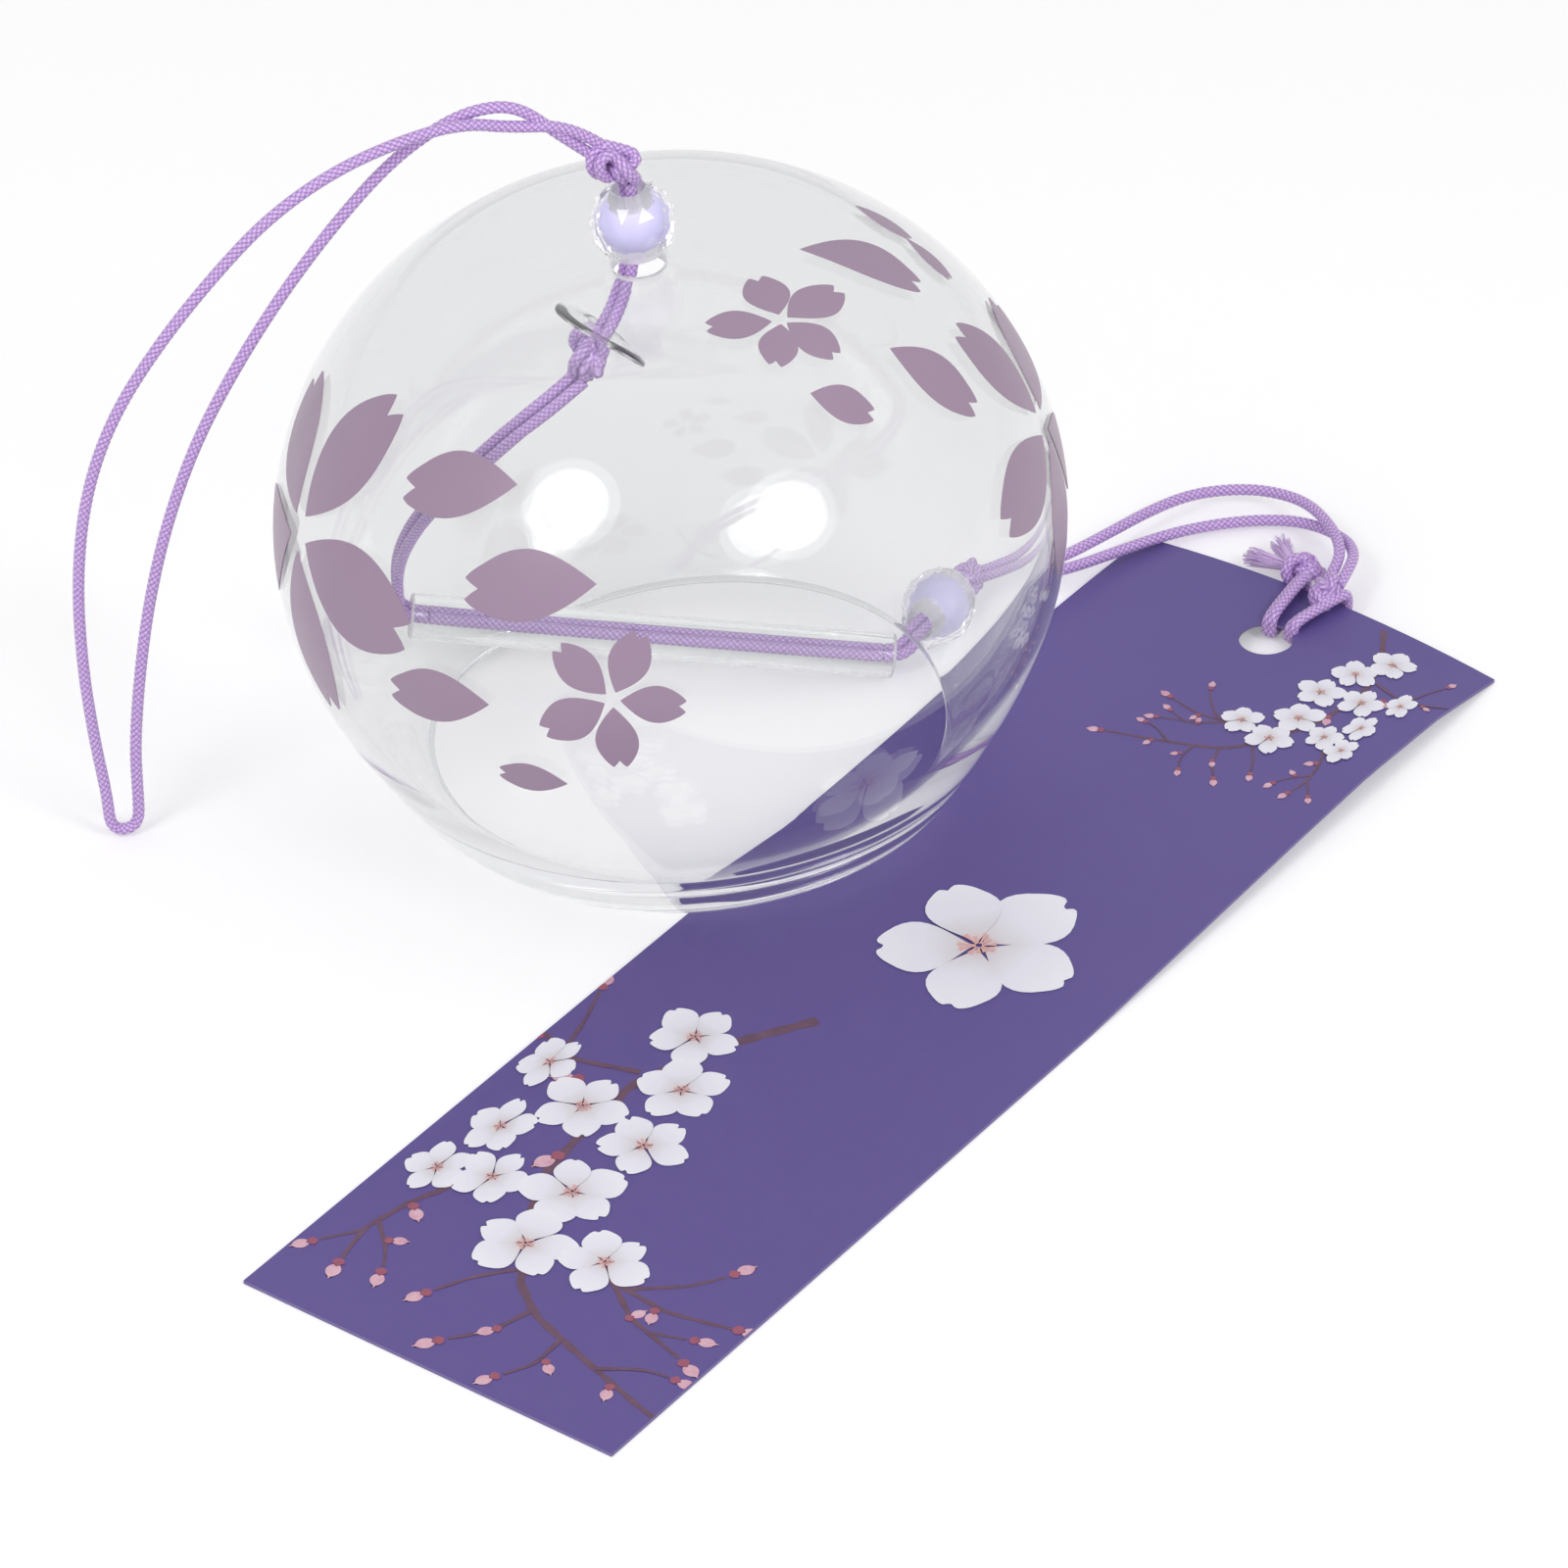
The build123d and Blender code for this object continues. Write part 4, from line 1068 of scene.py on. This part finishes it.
# %% Overhand knots
KNOT_REACH = 0.92
KNOT_LOBE = 0.74
KNOT_THICK = 0.85
KNOT_SLIM, KNOT_TALL, KNOT_SHIFT = 0.78, 1.1, 0.3
KNOT_POINTS = 19
KNOT_OPENING = 0.42
HALF_SPACING = 0.52 * MM
KNOTS = {
    "knot_top": ("top_knot", "loop", (-25.35, 32.35, 66.1), (-0.80, -0.20, 0.56), (0.2, 0.9, 0.4),
                 (-24.24, 32.61, 63.95), (-27.02, 31.89, 67.60), 1.32),
    "knot_inner": ("inner_knot", "bell", (-27.29, 29.85, 46.62), (-0.2011, -0.1007, -0.9744), (0.9, 0.3, -0.2),
                   (-26.43, 30.37, 48.45), (-28.35, 29.61, 44.86), 1.15),
    "knot_lower": ("lower_knot", "bell", (9.31, 55.20, 3.85), (0.5878, 0.8090, 0.0), (0.7, -0.5, 0.5),
                   (8.52, 54.11, 3.85), (10.44, 55.91, 3.74), 1.0),
    "knot_tail": ("tail_knot", "strip", (39.39, 60.40, 2.25), (0.93, 0.36, 0.0), (-0.3, 0.85, 0.4),
                  (38.40, 60.60, 2.0), (41.0, 59.5, 2.3), 1.0),
    "knot_crown": ("hitch_crown", "strip", (41.75, 54.50, 3.30), (0.4007, 0.9127, 0.0802), (0.8, -0.4, 0.3),
                   (42.15, 55.41, 3.58), (40.9, 55.9, 3.0), 0.86),
}


def doubled_knot(centre, long_way, side_way, first_end, last_end, scale):
    """Give the two braided strands of an overhand knot, between the places where they come out."""
    long_way = unit(long_way)
    side_way = np.array(side_way, float)
    side_way = unit(side_way - long_way * (side_way @ long_way))
    out_way = np.cross(long_way, side_way)
    turns = np.linspace(KNOT_OPENING, 2 * math.pi - KNOT_OPENING, KNOT_POINTS)
    reach = KNOT_REACH + KNOT_LOBE * np.cos(3 * turns)
    across = (reach * np.cos(2 * turns) - KNOT_SHIFT) * KNOT_SLIM
    along = reach * np.sin(2 * turns) * KNOT_TALL
    over = KNOT_THICK * np.sin(3 * turns)
    lobes = across[:, None] * side_way + along[:, None] * long_way + over[:, None] * out_way
    route = [first_end, *(np.array(centre) + scale * lobes).tolist(), last_end]
    points, _ = even_steps(smooth_line(route), BRAID_STEP)
    ways, sides = side_ways(points, out_way)
    radius = STRAND_RADIUS * min(1.0, 0.55 + 0.45 * scale)
    asides = [sides * hand * HALF_SPACING * min(scale, 1.0) for hand in (-1, 1)]
    return [braided_points(points + aside, radius) for aside in asides]


for knot_name, (node, body_name, *shape) in KNOTS.items():
    knot = braided_piece(knot_name, doubled_knot(*shape), cord_yarn)
    dress(knot, node, body_name)
print("knots", len(KNOTS))

# %% [markdown]
# ## Hitch and frayed ends
# The doubled cord passes twice through the strip's hole and round its far edge. Each pass
# is a flat pair of strands. Past the tail knot the two ends are cut and have opened into
# soft brushes, so they are made of many single fibres.

# %% Hitch round the strip's far edge
STRIP_HEADING = 54.33
HITCH_LEGS = {
    "hitch_cord_a": ("hitch_leg_a", (35.309, 49.893, 0.0), STRIP_HEADING + 8.0, 1.5),
    "hitch_cord_b": ("hitch_leg_b", (36.690, 48.902, 0.0), STRIP_HEADING - 11.5, 1.8),
}
HITCH_REACH = 9.15
HITCH_TIGHTNESS = 0.95
HITCH_SPREAD = [(-0.24, -0.15), (0.24, 0.22)]

for cord_name, (node, start, turn, near) in HITCH_LEGS.items():
    way = np.array([math.cos(math.radians(turn)), math.sin(math.radians(turn)), 0.0])
    side = np.array([way[1], -way[0], 0.0])
    tubes = []
    for aside, lift in HITCH_SPREAD:
        shape = [(4.6, 0.62), (near + 1.1, 0.62), (near, 0.85), (near, 1.6), (near + 0.2, 2.35 + lift),
                 (near + 1.3, 2.62 + lift), (4.5, 2.72 + lift), (8.0, 2.75 + lift), (HITCH_REACH, 2.6 + lift),
                 (HITCH_REACH + 0.1, 1.6), (HITCH_REACH, 0.75), (8.2, 0.62), (4.7, 0.62)]
        route = [tuple(np.array(start) + way * u + side * aside + np.array([0, 0, z])) for u, z in shape]
        tubes.append(braided_points(smooth_line(route), STRAND_RADIUS * HITCH_TIGHTNESS))
    leg = braided_piece(cord_name, tubes, cord_yarn)
    dress(leg, node, "strip")

# %% Frayed ends
FRAY_STARTS = {
    "frayed_brush_a": ("frayed_end_a", (38.100, 60.791, 1.88), (-0.864, 0.492, -0.06)),
    "frayed_brush_b": ("frayed_end_b", (38.60, 61.20, 1.88), (-0.27, 0.963, -0.06)),
}
FRAY_FIBRES, FRAY_SIDES, FRAY_RINGS = 170, 4, 9
FRAY_LENGTH, FRAY_SPREAD, FIBRE_RADIUS = 4.9 * MM, 1.05 * MM, 0.05 * MM
FRAY_BUNDLE, FRAY_CURL, FRAY_OPENING = 0.8, 0.1, 1.4
FRAY_LOWEST = 0.25 * MM
FRAY_SHORTEST, OUTER_SHORTER = 0.8, 0.16

for brush_number, (brush_name, (node, start, way)) in enumerate(FRAY_STARTS.items()):
    chance = np.random.default_rng(11 + brush_number)
    way = unit(way)
    across = unit(np.cross(way, [0.0, 0.0, 1.0]))
    ahead = np.cross(way, across)
    points, faces, painted_lightness, start_index = [], [], [], 0
    for _ in range(FRAY_FIBRES):
        turn = chance.uniform(0, 2 * math.pi)
        spread = math.sqrt(chance.uniform(0, 1))
        spoke = across * math.cos(turn) + ahead * math.sin(turn)
        length = FRAY_LENGTH * chance.uniform(FRAY_SHORTEST, 1.0) * (1 - OUTER_SHORTER * spread**2)
        share = np.linspace(0, 1, FRAY_RINGS)
        curl = chance.normal(0, FRAY_CURL, 3) * MM
        reach = spread * (STRAND_RADIUS * FRAY_BUNDLE * (1 - share) + FRAY_SPREAD * share**FRAY_OPENING)
        line = np.array(start) * MM + share[:, None] * way * length + reach[:, None] * spoke
        line = line + np.sin(share * math.pi)[:, None] * curl
        line[:, 2] = np.maximum(line[:, 2], FRAY_LOWEST)
        ways, sides = side_ways(line)
        others = np.cross(ways, sides)
        angles = np.arange(FRAY_SIDES) * 2 * math.pi / FRAY_SIDES
        taper = FIBRE_RADIUS * (1.35 - 0.75 * share)
        ring = (np.cos(angles)[None, :, None] * sides[:, None]
                + np.sin(angles)[None, :, None] * others[:, None])
        points.append((line[:, None] + ring * taper[:, None, None]).reshape(-1, 3))
        faces += [[i + start_index for i in f] for f in ring_faces(FRAY_RINGS, FRAY_SIDES)]
        faces.append([start_index + i for i in range(FRAY_SIDES)][::-1])
        faces.append([start_index + FRAY_SIDES * (FRAY_RINGS - 1) + i for i in range(FRAY_SIDES)])
        # Each fibre's value runs past the braid's top and is lightest at the tip, so the fibre takes the cord's
        # painted highlight colour. This painted light lifts the brush out of the shade between its fibres.
        painted_lightness.append(np.repeat(0.72 + 0.6 * share + chance.uniform(-0.12, 0.12), FRAY_SIDES))
        start_index += FRAY_SIDES * FRAY_RINGS
    brush = make_piece(brush_name, np.vstack(points), faces, [cord_yarn])
    height = brush.data.attributes.new("braid", "FLOAT", "POINT")
    height.data.foreach_set("value", np.concatenate(painted_lightness).astype(np.float32))
    dress(brush, node, "strip")

# %% [markdown]
# ## Paper strip
# The strip is stiff card that curls: its far part arches up off the table where the cord
# goes under it, with its right edge highest. It is one thin closed sheet over a fine
# grid with a round hole, so the arch is smooth from every side.

# %% Strip surface
STRIP_HOLE = np.array([35.65, 48.91, 0.0]) * MM
STRIP_ALONG = np.array([0.5831, 0.8124, 0.0])
STRIP_ACROSS = np.array([0.8124, -0.5831, 0.0])
STRIP_LENGTH, STRIP_WIDTH, STRIP_THICK = 140.0 * MM, 40.0 * MM, 0.35 * MM
STRIP_FAR = 8.9 * MM
STRIP_ARCH = 1.9 * MM
HOLE_REACH = 2.6 * MM
STATION_SHARES = [0.0, 0.515, 0.67, 0.76, 0.845, 0.93, 1.0]
LEFT_SHARES = [0.0, 0.0, 0.05, 0.1, 0.13, 0.1, 0.0]
MIDDLE_SHARES = [0.0, 0.0, 0.18, 0.42, 0.68, 0.79, 0.74]
RIGHT_SHARES = [0.0, 0.0, 0.49, 0.79, 1.0, 0.76, 0.0]


def strip_height(u, v):
    """Give the underside's height above the table at a distance along and across from the hole."""
    share = (np.asarray(u) - STRIP_FAR + STRIP_LENGTH) / STRIP_LENGTH
    cross = np.clip(np.asarray(v) / STRIP_WIDTH + 0.5, 0, 1)
    left = np.interp(share, STATION_SHARES, LEFT_SHARES)
    middle = np.interp(share, STATION_SHARES, MIDDLE_SHARES)
    right = np.interp(share, STATION_SHARES, RIGHT_SHARES)
    pull = 2 * middle - (left + right) / 2
    return STRIP_ARCH * (left * (1 - cross) ** 2 + 2 * pull * cross * (1 - cross) + right * cross**2)


def strip_place(u, v, lift):
    """Give places on the strip, a lift above its underside."""
    u, v = np.asarray(u, float), np.asarray(v, float)
    flat = STRIP_HOLE + u[..., None] * STRIP_ALONG + v[..., None] * STRIP_ACROSS
    flat[..., 2] = strip_height(u, v) + lift
    return flat


# %% Strip sheet with its hole
HOLE_SIDES = 48
GRID_STEP = 2.5 * MM
HOLE_WINDOW = 6.3 * MM
NEAR_ENOUGH = 1e-9
KEY_DIGITS = 9


def corner_key(u, v):
    """Name a corner of the grid by its rounded place."""
    return (round(u, KEY_DIGITS), round(v, KEY_DIGITS))


work = bmesh.new()
u_lines = np.linspace(STRIP_FAR - STRIP_LENGTH, STRIP_FAR, int(STRIP_LENGTH / GRID_STEP) + 1)
v_lines = np.linspace(-STRIP_WIDTH / 2, STRIP_WIDTH / 2, int(STRIP_WIDTH / GRID_STEP) + 1)
u_window = u_lines[np.abs(u_lines) < HOLE_WINDOW]
v_window = v_lines[np.abs(v_lines) < HOLE_WINDOW]
u_low, u_high, v_low, v_high = u_window[0], u_window[-1], v_window[0], v_window[-1]
corner = {}
for u in u_lines:
    for v in v_lines:
        if not (u_low < u < u_high and v_low < v < v_high):
            corner[corner_key(u, v)] = work.verts.new((u, v, 0))
for u, u_after in zip(u_lines, u_lines[1:]):
    for v, v_after in zip(v_lines, v_lines[1:]):
        in_u = u_low - NEAR_ENOUGH <= u and u_after <= u_high + NEAR_ENOUGH
        in_v = v_low - NEAR_ENOUGH <= v and v_after <= v_high + NEAR_ENOUGH
        if not (in_u and in_v):
            places = ((u, v), (u_after, v), (u_after, v_after), (u, v_after))
            work.faces.new([corner[corner_key(*place)] for place in places])
frame_edges = [e for e in work.edges if e.is_boundary
               and all(abs(w.co.x) < HOLE_WINDOW and abs(w.co.y) < HOLE_WINDOW for w in e.verts)]
hole_turns = np.arange(HOLE_SIDES) * 2 * math.pi / HOLE_SIDES
hole_verts = [work.verts.new((HOLE_REACH * math.cos(t), HOLE_REACH * math.sin(t), 0)) for t in hole_turns]
hole_edges = [work.edges.new(pair) for pair in zip(hole_verts, hole_verts[1:] + hole_verts[:1])]
bmesh.ops.triangle_fill(work, edges=frame_edges + hole_edges, use_beauty=True)
work.verts.index_update()
flat_points = np.array([v.co for v in work.verts])
flat_faces = [[v.index for v in f.verts] for f in work.faces]
rims = [[v.index for v in e.verts] for e in work.edges if e.is_boundary]
work.free()
count = len(flat_points)
top_points = strip_place(flat_points[:, 0], flat_points[:, 1], STRIP_THICK)
low_points = strip_place(flat_points[:, 0], flat_points[:, 1], 0.0)
sheet_faces = flat_faces + [[i + count for i in f[::-1]] for f in flat_faces]
rim_faces = [[a, b, b + count, a + count] for a, b in rims]
paper_strip = make_piece("paper_strip", np.vstack([top_points, low_points]), sheet_faces + rim_faces,
                         [strip_ink, card_core])
paper_strip.data.polygons.foreach_set("material_index", [0] * len(sheet_faces) + [1] * len(rim_faces))
paper_strip.data.polygons.foreach_set("use_smooth", [True] * len(sheet_faces) + [False] * len(rim_faces))
work = bmesh.new()
work.from_mesh(paper_strip.data)
bmesh.ops.recalc_face_normals(work, faces=work.faces)
work.to_mesh(paper_strip.data)
work.free()
paper_strip.data.set_sharp_from_angle(angle=math.radians(40))
dress(paper_strip, "tanzaku", "strip")
print("strip faces", len(paper_strip.data.polygons))

# %% [markdown]
# ## Cherry spray on the strip
# The print is a common spring pattern: five-petalled cherry blossoms, buds and bare
# twigs. One spray is laid out here in its own small frame, and the strip shows it twice,
# the second time smaller and the other way round, with one large blossom between them.
# Each shape is a thin patch of ink, and what overlaps lies a hair higher.

# %% Print helpers
INK_SKIN = 0.012 * MM
ink_level = {"twig": 0.006 * MM, "bud": 0.042 * MM, "petal": 0.058 * MM}
TWIG_STEP, BLOSSOM_STEP = 0.0024 * MM, 0.0013 * MM


def ink_patch(u, v, level, number):
    """Make one closed patch of ink on the strip from grids of places."""
    top = strip_place(u, v, STRIP_THICK + level + INK_SKIN)
    low = strip_place(u, v, STRIP_THICK + level)
    return (*thin_patch(top, low), number)


NICK_WIDTH, NICK_SLANT = 0.2, 0.05
BLOSSOM_PETALS, BLOSSOM_STAMENS = 5, 11
PETAL_GAP = 0.004 * MM


def blossom_grid(length, width, notch, lean, rows=10, columns=12):
    """Give a broad round petal as a grid, with a narrow base and a small nick at its tip."""
    aside = np.linspace(-1, 1, columns + 1)
    nick = notch * np.exp(-((aside - lean) / NICK_WIDTH) ** 2)
    tip = 1 - TIP_ROUNDING * np.abs(aside) ** 2.2 - nick + NICK_SLANT * lean * aside
    along = np.linspace(0.0, 1.0, rows + 1)
    half = np.sin(math.pi * 0.79 * along**1.15) ** 0.95 * width / 2
    return along[:, None] * tip[None, :] * length, half[:, None] * aside[None, :]


def blossom(centre, radius, turn, squash, level, chance):
    """List a blossom's five petals with their stored reach, and its stamens."""
    made = []
    step = INK_SKIN + PETAL_GAP
    for petal in range(BLOSSOM_PETALS):
        angle = math.radians(turn + petal * 360 / BLOSSOM_PETALS + chance.uniform(-6, 6))
        length = radius * chance.uniform(0.9, 1.06)
        width = length * chance.uniform(0.74, 0.9)
        u, v = blossom_grid(length, width, chance.uniform(0.05, 0.13), chance.uniform(-0.35, 0.35))
        u = u + radius * 0.05
        x = u * math.cos(angle) - v * math.sin(angle)
        y = (u * math.sin(angle) + v * math.cos(angle)) * squash
        shade = np.concatenate([(u / radius).ravel()] * 2)
        made.append((ink_patch(centre[0] + x, centre[1] + y, level + petal * step, 0), shade))
    for stamen in range(BLOSSOM_STAMENS):
        angle = math.radians(turn + stamen * 33 + chance.uniform(-8, 8))
        outer = radius * chance.uniform(0.10, 0.21)
        wide = radius * 0.012
        u = np.linspace(radius * 0.03, outer, 4)[:, None] * np.ones((1, 2))
        v = np.array([-wide, wide])[None, :] * np.array([1.0, 0.8, 1.4, 2.4])[:, None]
        x = u * math.cos(angle) - v * math.sin(angle)
        y = (u * math.sin(angle) + v * math.cos(angle)) * squash
        patch = ink_patch(centre[0] + x, centre[1] + y, level + (BLOSSOM_PETALS + 0.3) * step, 1)
        made.append((patch, np.ones(2 * u.size)))
    return made


def twig(route, thick_start, thick_end, level):
    """Make a tapered twig along a few points."""
    route = np.array(route) * MM
    run = np.concatenate([[0], np.cumsum(np.linalg.norm(np.diff(route, axis=0), axis=1))])
    even = np.linspace(0, run[-1], max(6, int(run[-1] / (0.6 * MM))))
    line = np.stack([np.interp(even, run, route[:, i]) for i in range(2)], 1)
    for _ in range(2):
        line[1:-1] = (line[:-2] + 2 * line[1:-1] + line[2:]) / 4
    way = np.gradient(line, axis=0)
    way = way / np.linalg.norm(way, axis=1, keepdims=True)
    side = np.stack([-way[:, 1], way[:, 0]], 1)
    wave = 1 + 0.15 * np.sin(even / MM * 2.1)
    half = np.interp(even, [0, run[-1]], [thick_start, thick_end]) * MM / 2 * wave
    u = np.stack([line[:, 0] - side[:, 0] * half, line[:, 0] + side[:, 0] * half], 1)
    v = np.stack([line[:, 1] - side[:, 1] * half, line[:, 1] + side[:, 1] * half], 1)
    return ink_patch(u, v, level, 2), np.ones(2 * u.size)


BUD_GROWTH, TWIG_GROWTH = 1.25, 0.8


def bud(place, turn, size, level):
    """Make a bud, a small closed petal in a darker cup."""
    angle = math.radians(turn)
    made = []
    for number, length, width, shift, step in ((3, 1.0, 0.62, 0.25, 0.0), (4, 0.55, 0.52, -0.1, 1.0)):
        u, v = petal_grid(size * length * MM, size * width * MM, 0.0, rows=6, columns=4, far=0.98, full=0.7)
        u = u + shift * size * MM
        x = place[0] * MM + u * math.cos(angle) - v * math.sin(angle)
        y = place[1] * MM + u * math.sin(angle) + v * math.cos(angle)
        made.append((ink_patch(x, y, level + step * (INK_SKIN + 0.003 * MM), number), np.ones(2 * u.size)))
    return made


# %% One spray in its own frame, in millimetres
SPRAY_BLOSSOMS = [
    ((1.0, -1.0), 4.5, 10, 0.9), ((-6.0, 2.6), 4.3, 40, 0.95), ((-13.0, -3.2), 4.6, 75, 0.9),
    ((-14.4, 4.6), 4.4, 15, 1.0), ((-19.6, -7.4), 4.1, 55, 0.65), ((-23.4, 3.4), 4.7, 30, 1.0),
    ((-25.8, -3.6), 4.1, 5, 0.8), ((-31.6, 4.4), 4.7, 60, 1.0), ((-29.6, 11.6), 4.3, 25, 0.95),
    ((-9.6, -9.4), 4.1, 20, 0.6), ((-27.6, -8.4), 3.9, 40, 0.7),
]
SPRAY_TWIGS = [
    ([(9.5, 6.5), (4.5, 3.5), (0, 1), (-8, -1.5), (-16, -1), (-24, 0), (-31, 4)], 1.4, 0.9),
    ([(-31, 5), (-36, 7), (-39, 11), (-41, 17), (-43.5, 25), (-45, 31)], 1.1, 0.6),
    ([(-29, 9), (-31.5, 15), (-32, 20), (-30.5, 26)], 0.8, 0.5),
    ([(-30.8, 13), (-34.5, 18), (-36.4, 24.6)], 0.8, 0.45),
    ([(-31.4, 15.4), (-28, 19.5), (-25, 21.4)], 0.6, 0.4), ([(-35.2, 20.2), (-34, 23.6)], 0.5, 0.35),
    ([(-27, -5), (-33, -7.4), (-38, -8.4), (-42.5, -7.5)], 0.8, 0.5),
    ([(-36.4, -8.2), (-39.4, -5), (-41.4, -3.8)], 0.55, 0.35),
    ([(-38.4, -8.3), (-41.6, -10.6)], 0.5, 0.35),
    ([(-6, -2), (-8, -8), (-6.4, -12.6), (-3.4, -17)], 0.8, 0.45),
    ([(-7.6, -9.4), (-2.6, -10.6), (1.4, -12)], 0.55, 0.35),
    ([(-34.4, 6.3), (-38, 3.4), (-41.4, 1.8)], 0.6, 0.4), ([(-38.6, 10.4), (-43, 9.2), (-46, 6.8)], 0.6, 0.4),
    ([(-40.4, 14.8), (-44.4, 15), (-47, 13.6)], 0.55, 0.35),
    ([(-41.8, 19.6), (-39.4, 23), (-39, 25.4)], 0.55, 0.35),
]
SPRAY_BUDS = [
    ((-30.4, 26.2), 78, 1.9), ((-36.6, 25.0), 112, 1.8), ((-24.6, 21.6), 25, 1.7), ((-33.8, 24.0), 70, 1.6),
    ((-45.2, 31.2), 110, 2.0), ((-42.9, -7.4), 165, 1.8), ((-41.8, -3.6), 160, 1.7), ((-42.0, -10.8), 215, 1.6),
    ((-3.2, -17.4), -50, 1.6), ((1.8, -12.1), -15, 1.6), ((-7.0, -12.2), -100, 1.4), ((-41.8, 1.6), 205, 1.7),
    ((-46.4, 6.5), 215, 1.8), ((-47.4, 13.3), 205, 1.6), ((-39.0, 25.8), 88, 1.6), ((-42.2, 9.6), 215, 1.5),
    ((-43.4, 15.4), 130, 1.4), ((-42.8, 22.0), 160, 1.5), ((-32.2, 19.0), 160, 1.5), ((-9.8, -5.6), 240, 2.0),
    ((-19.6, -0.6), 200, 2.1), ((-33.0, -7.0), 130, 1.7), ((-34.8, 17.8), 20, 1.4), ((-38.4, -5.8), 60, 1.4),
]


PRINT_INSET = 0.03 * MM
PRINT_WELD = 0.001 * MM


def trim_to_strip(piece):
    """Cut a print off at the strip's edges and close the cuts."""
    work = bmesh.new()
    work.from_mesh(piece.data)
    half_width = STRIP_WIDTH / 2 - PRINT_INSET
    cuts = [(STRIP_HOLE + STRIP_ACROSS * half_width, STRIP_ACROSS),
            (STRIP_HOLE - STRIP_ACROSS * half_width, -STRIP_ACROSS),
            (STRIP_HOLE + STRIP_ALONG * (STRIP_FAR - PRINT_INSET), STRIP_ALONG)]
    for place, outward in cuts:
        everything = work.verts[:] + work.edges[:] + work.faces[:]
        bmesh.ops.bisect_plane(work, geom=everything, plane_co=place, plane_no=outward, clear_outer=True)
        open_edges = [e for e in work.edges if e.is_boundary]
        if open_edges:
            bmesh.ops.holes_fill(work, edges=open_edges, sides=0)
    bmesh.ops.recalc_face_normals(work, faces=work.faces)
    work.to_mesh(piece.data)
    work.free()


def print_spray(name, origin, size, turn, mirror, seed):
    """Print the spray on the strip from an origin, with its own size, turn and hand."""
    chance = np.random.default_rng(seed)
    cos, sin = math.cos(math.radians(turn)), math.sin(math.radians(turn))

    def lay(place):
        x, y = place[0] * size, place[1] * size * mirror
        return (origin[0] + x * cos - y * sin, origin[1] + x * sin + y * cos)

    made = []
    growth = size * TWIG_GROWTH
    for number, (route, thick_start, thick_end) in enumerate(SPRAY_TWIGS):
        level = ink_level["twig"] + number * TWIG_STEP
        made.append(twig([lay(p) for p in route], thick_start * growth, thick_end * growth, level))
    for place, bud_turn, bud_size in SPRAY_BUDS:
        made += bud(lay(place), turn + bud_turn * mirror, bud_size * size * BUD_GROWTH, ink_level["bud"])
    for number, (place, radius, start_turn, squash) in enumerate(SPRAY_BLOSSOMS):
        u, v = lay(place)
        level = ink_level["petal"] + number * BLOSSOM_STEP
        made += blossom((u * MM, v * MM), radius * size * MM, turn + start_turn * mirror, squash, level,
                        chance)
    patches, values = zip(*made)
    inks = [blossom_ink, stamen_ink, twig_ink, bud_ink, sepal_ink]
    piece = merged_piece(name, list(patches), inks, PRINT_WELD, list(values))
    trim_to_strip(piece)
    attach(piece, "strip")
    print(name, "patches", len(patches))
    return piece


# %% Print both sprays and the single blossom
near_spray = print_spray("near_spray", (-81.0, -7.5), 1.0, 0.0, 1.0, 3)
far_spray = print_spray("far_spray", (3.0, 11.5), 0.52, 0.0, -1.0, 4)

SINGLE_PLACE, SINGLE_RADIUS, SINGLE_TURN = (-54.0, 4.5), 9.6, 18.0
single = blossom(np.array(SINGLE_PLACE) * MM, SINGLE_RADIUS * MM, SINGLE_TURN, 1.0, ink_level["petal"],
                 np.random.default_rng(8))
patches, values = zip(*single)
single_blossom = merged_piece("single_blossom", list(patches), [blossom_ink, stamen_ink], PRINT_WELD,
                              list(values))
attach(single_blossom, "strip")
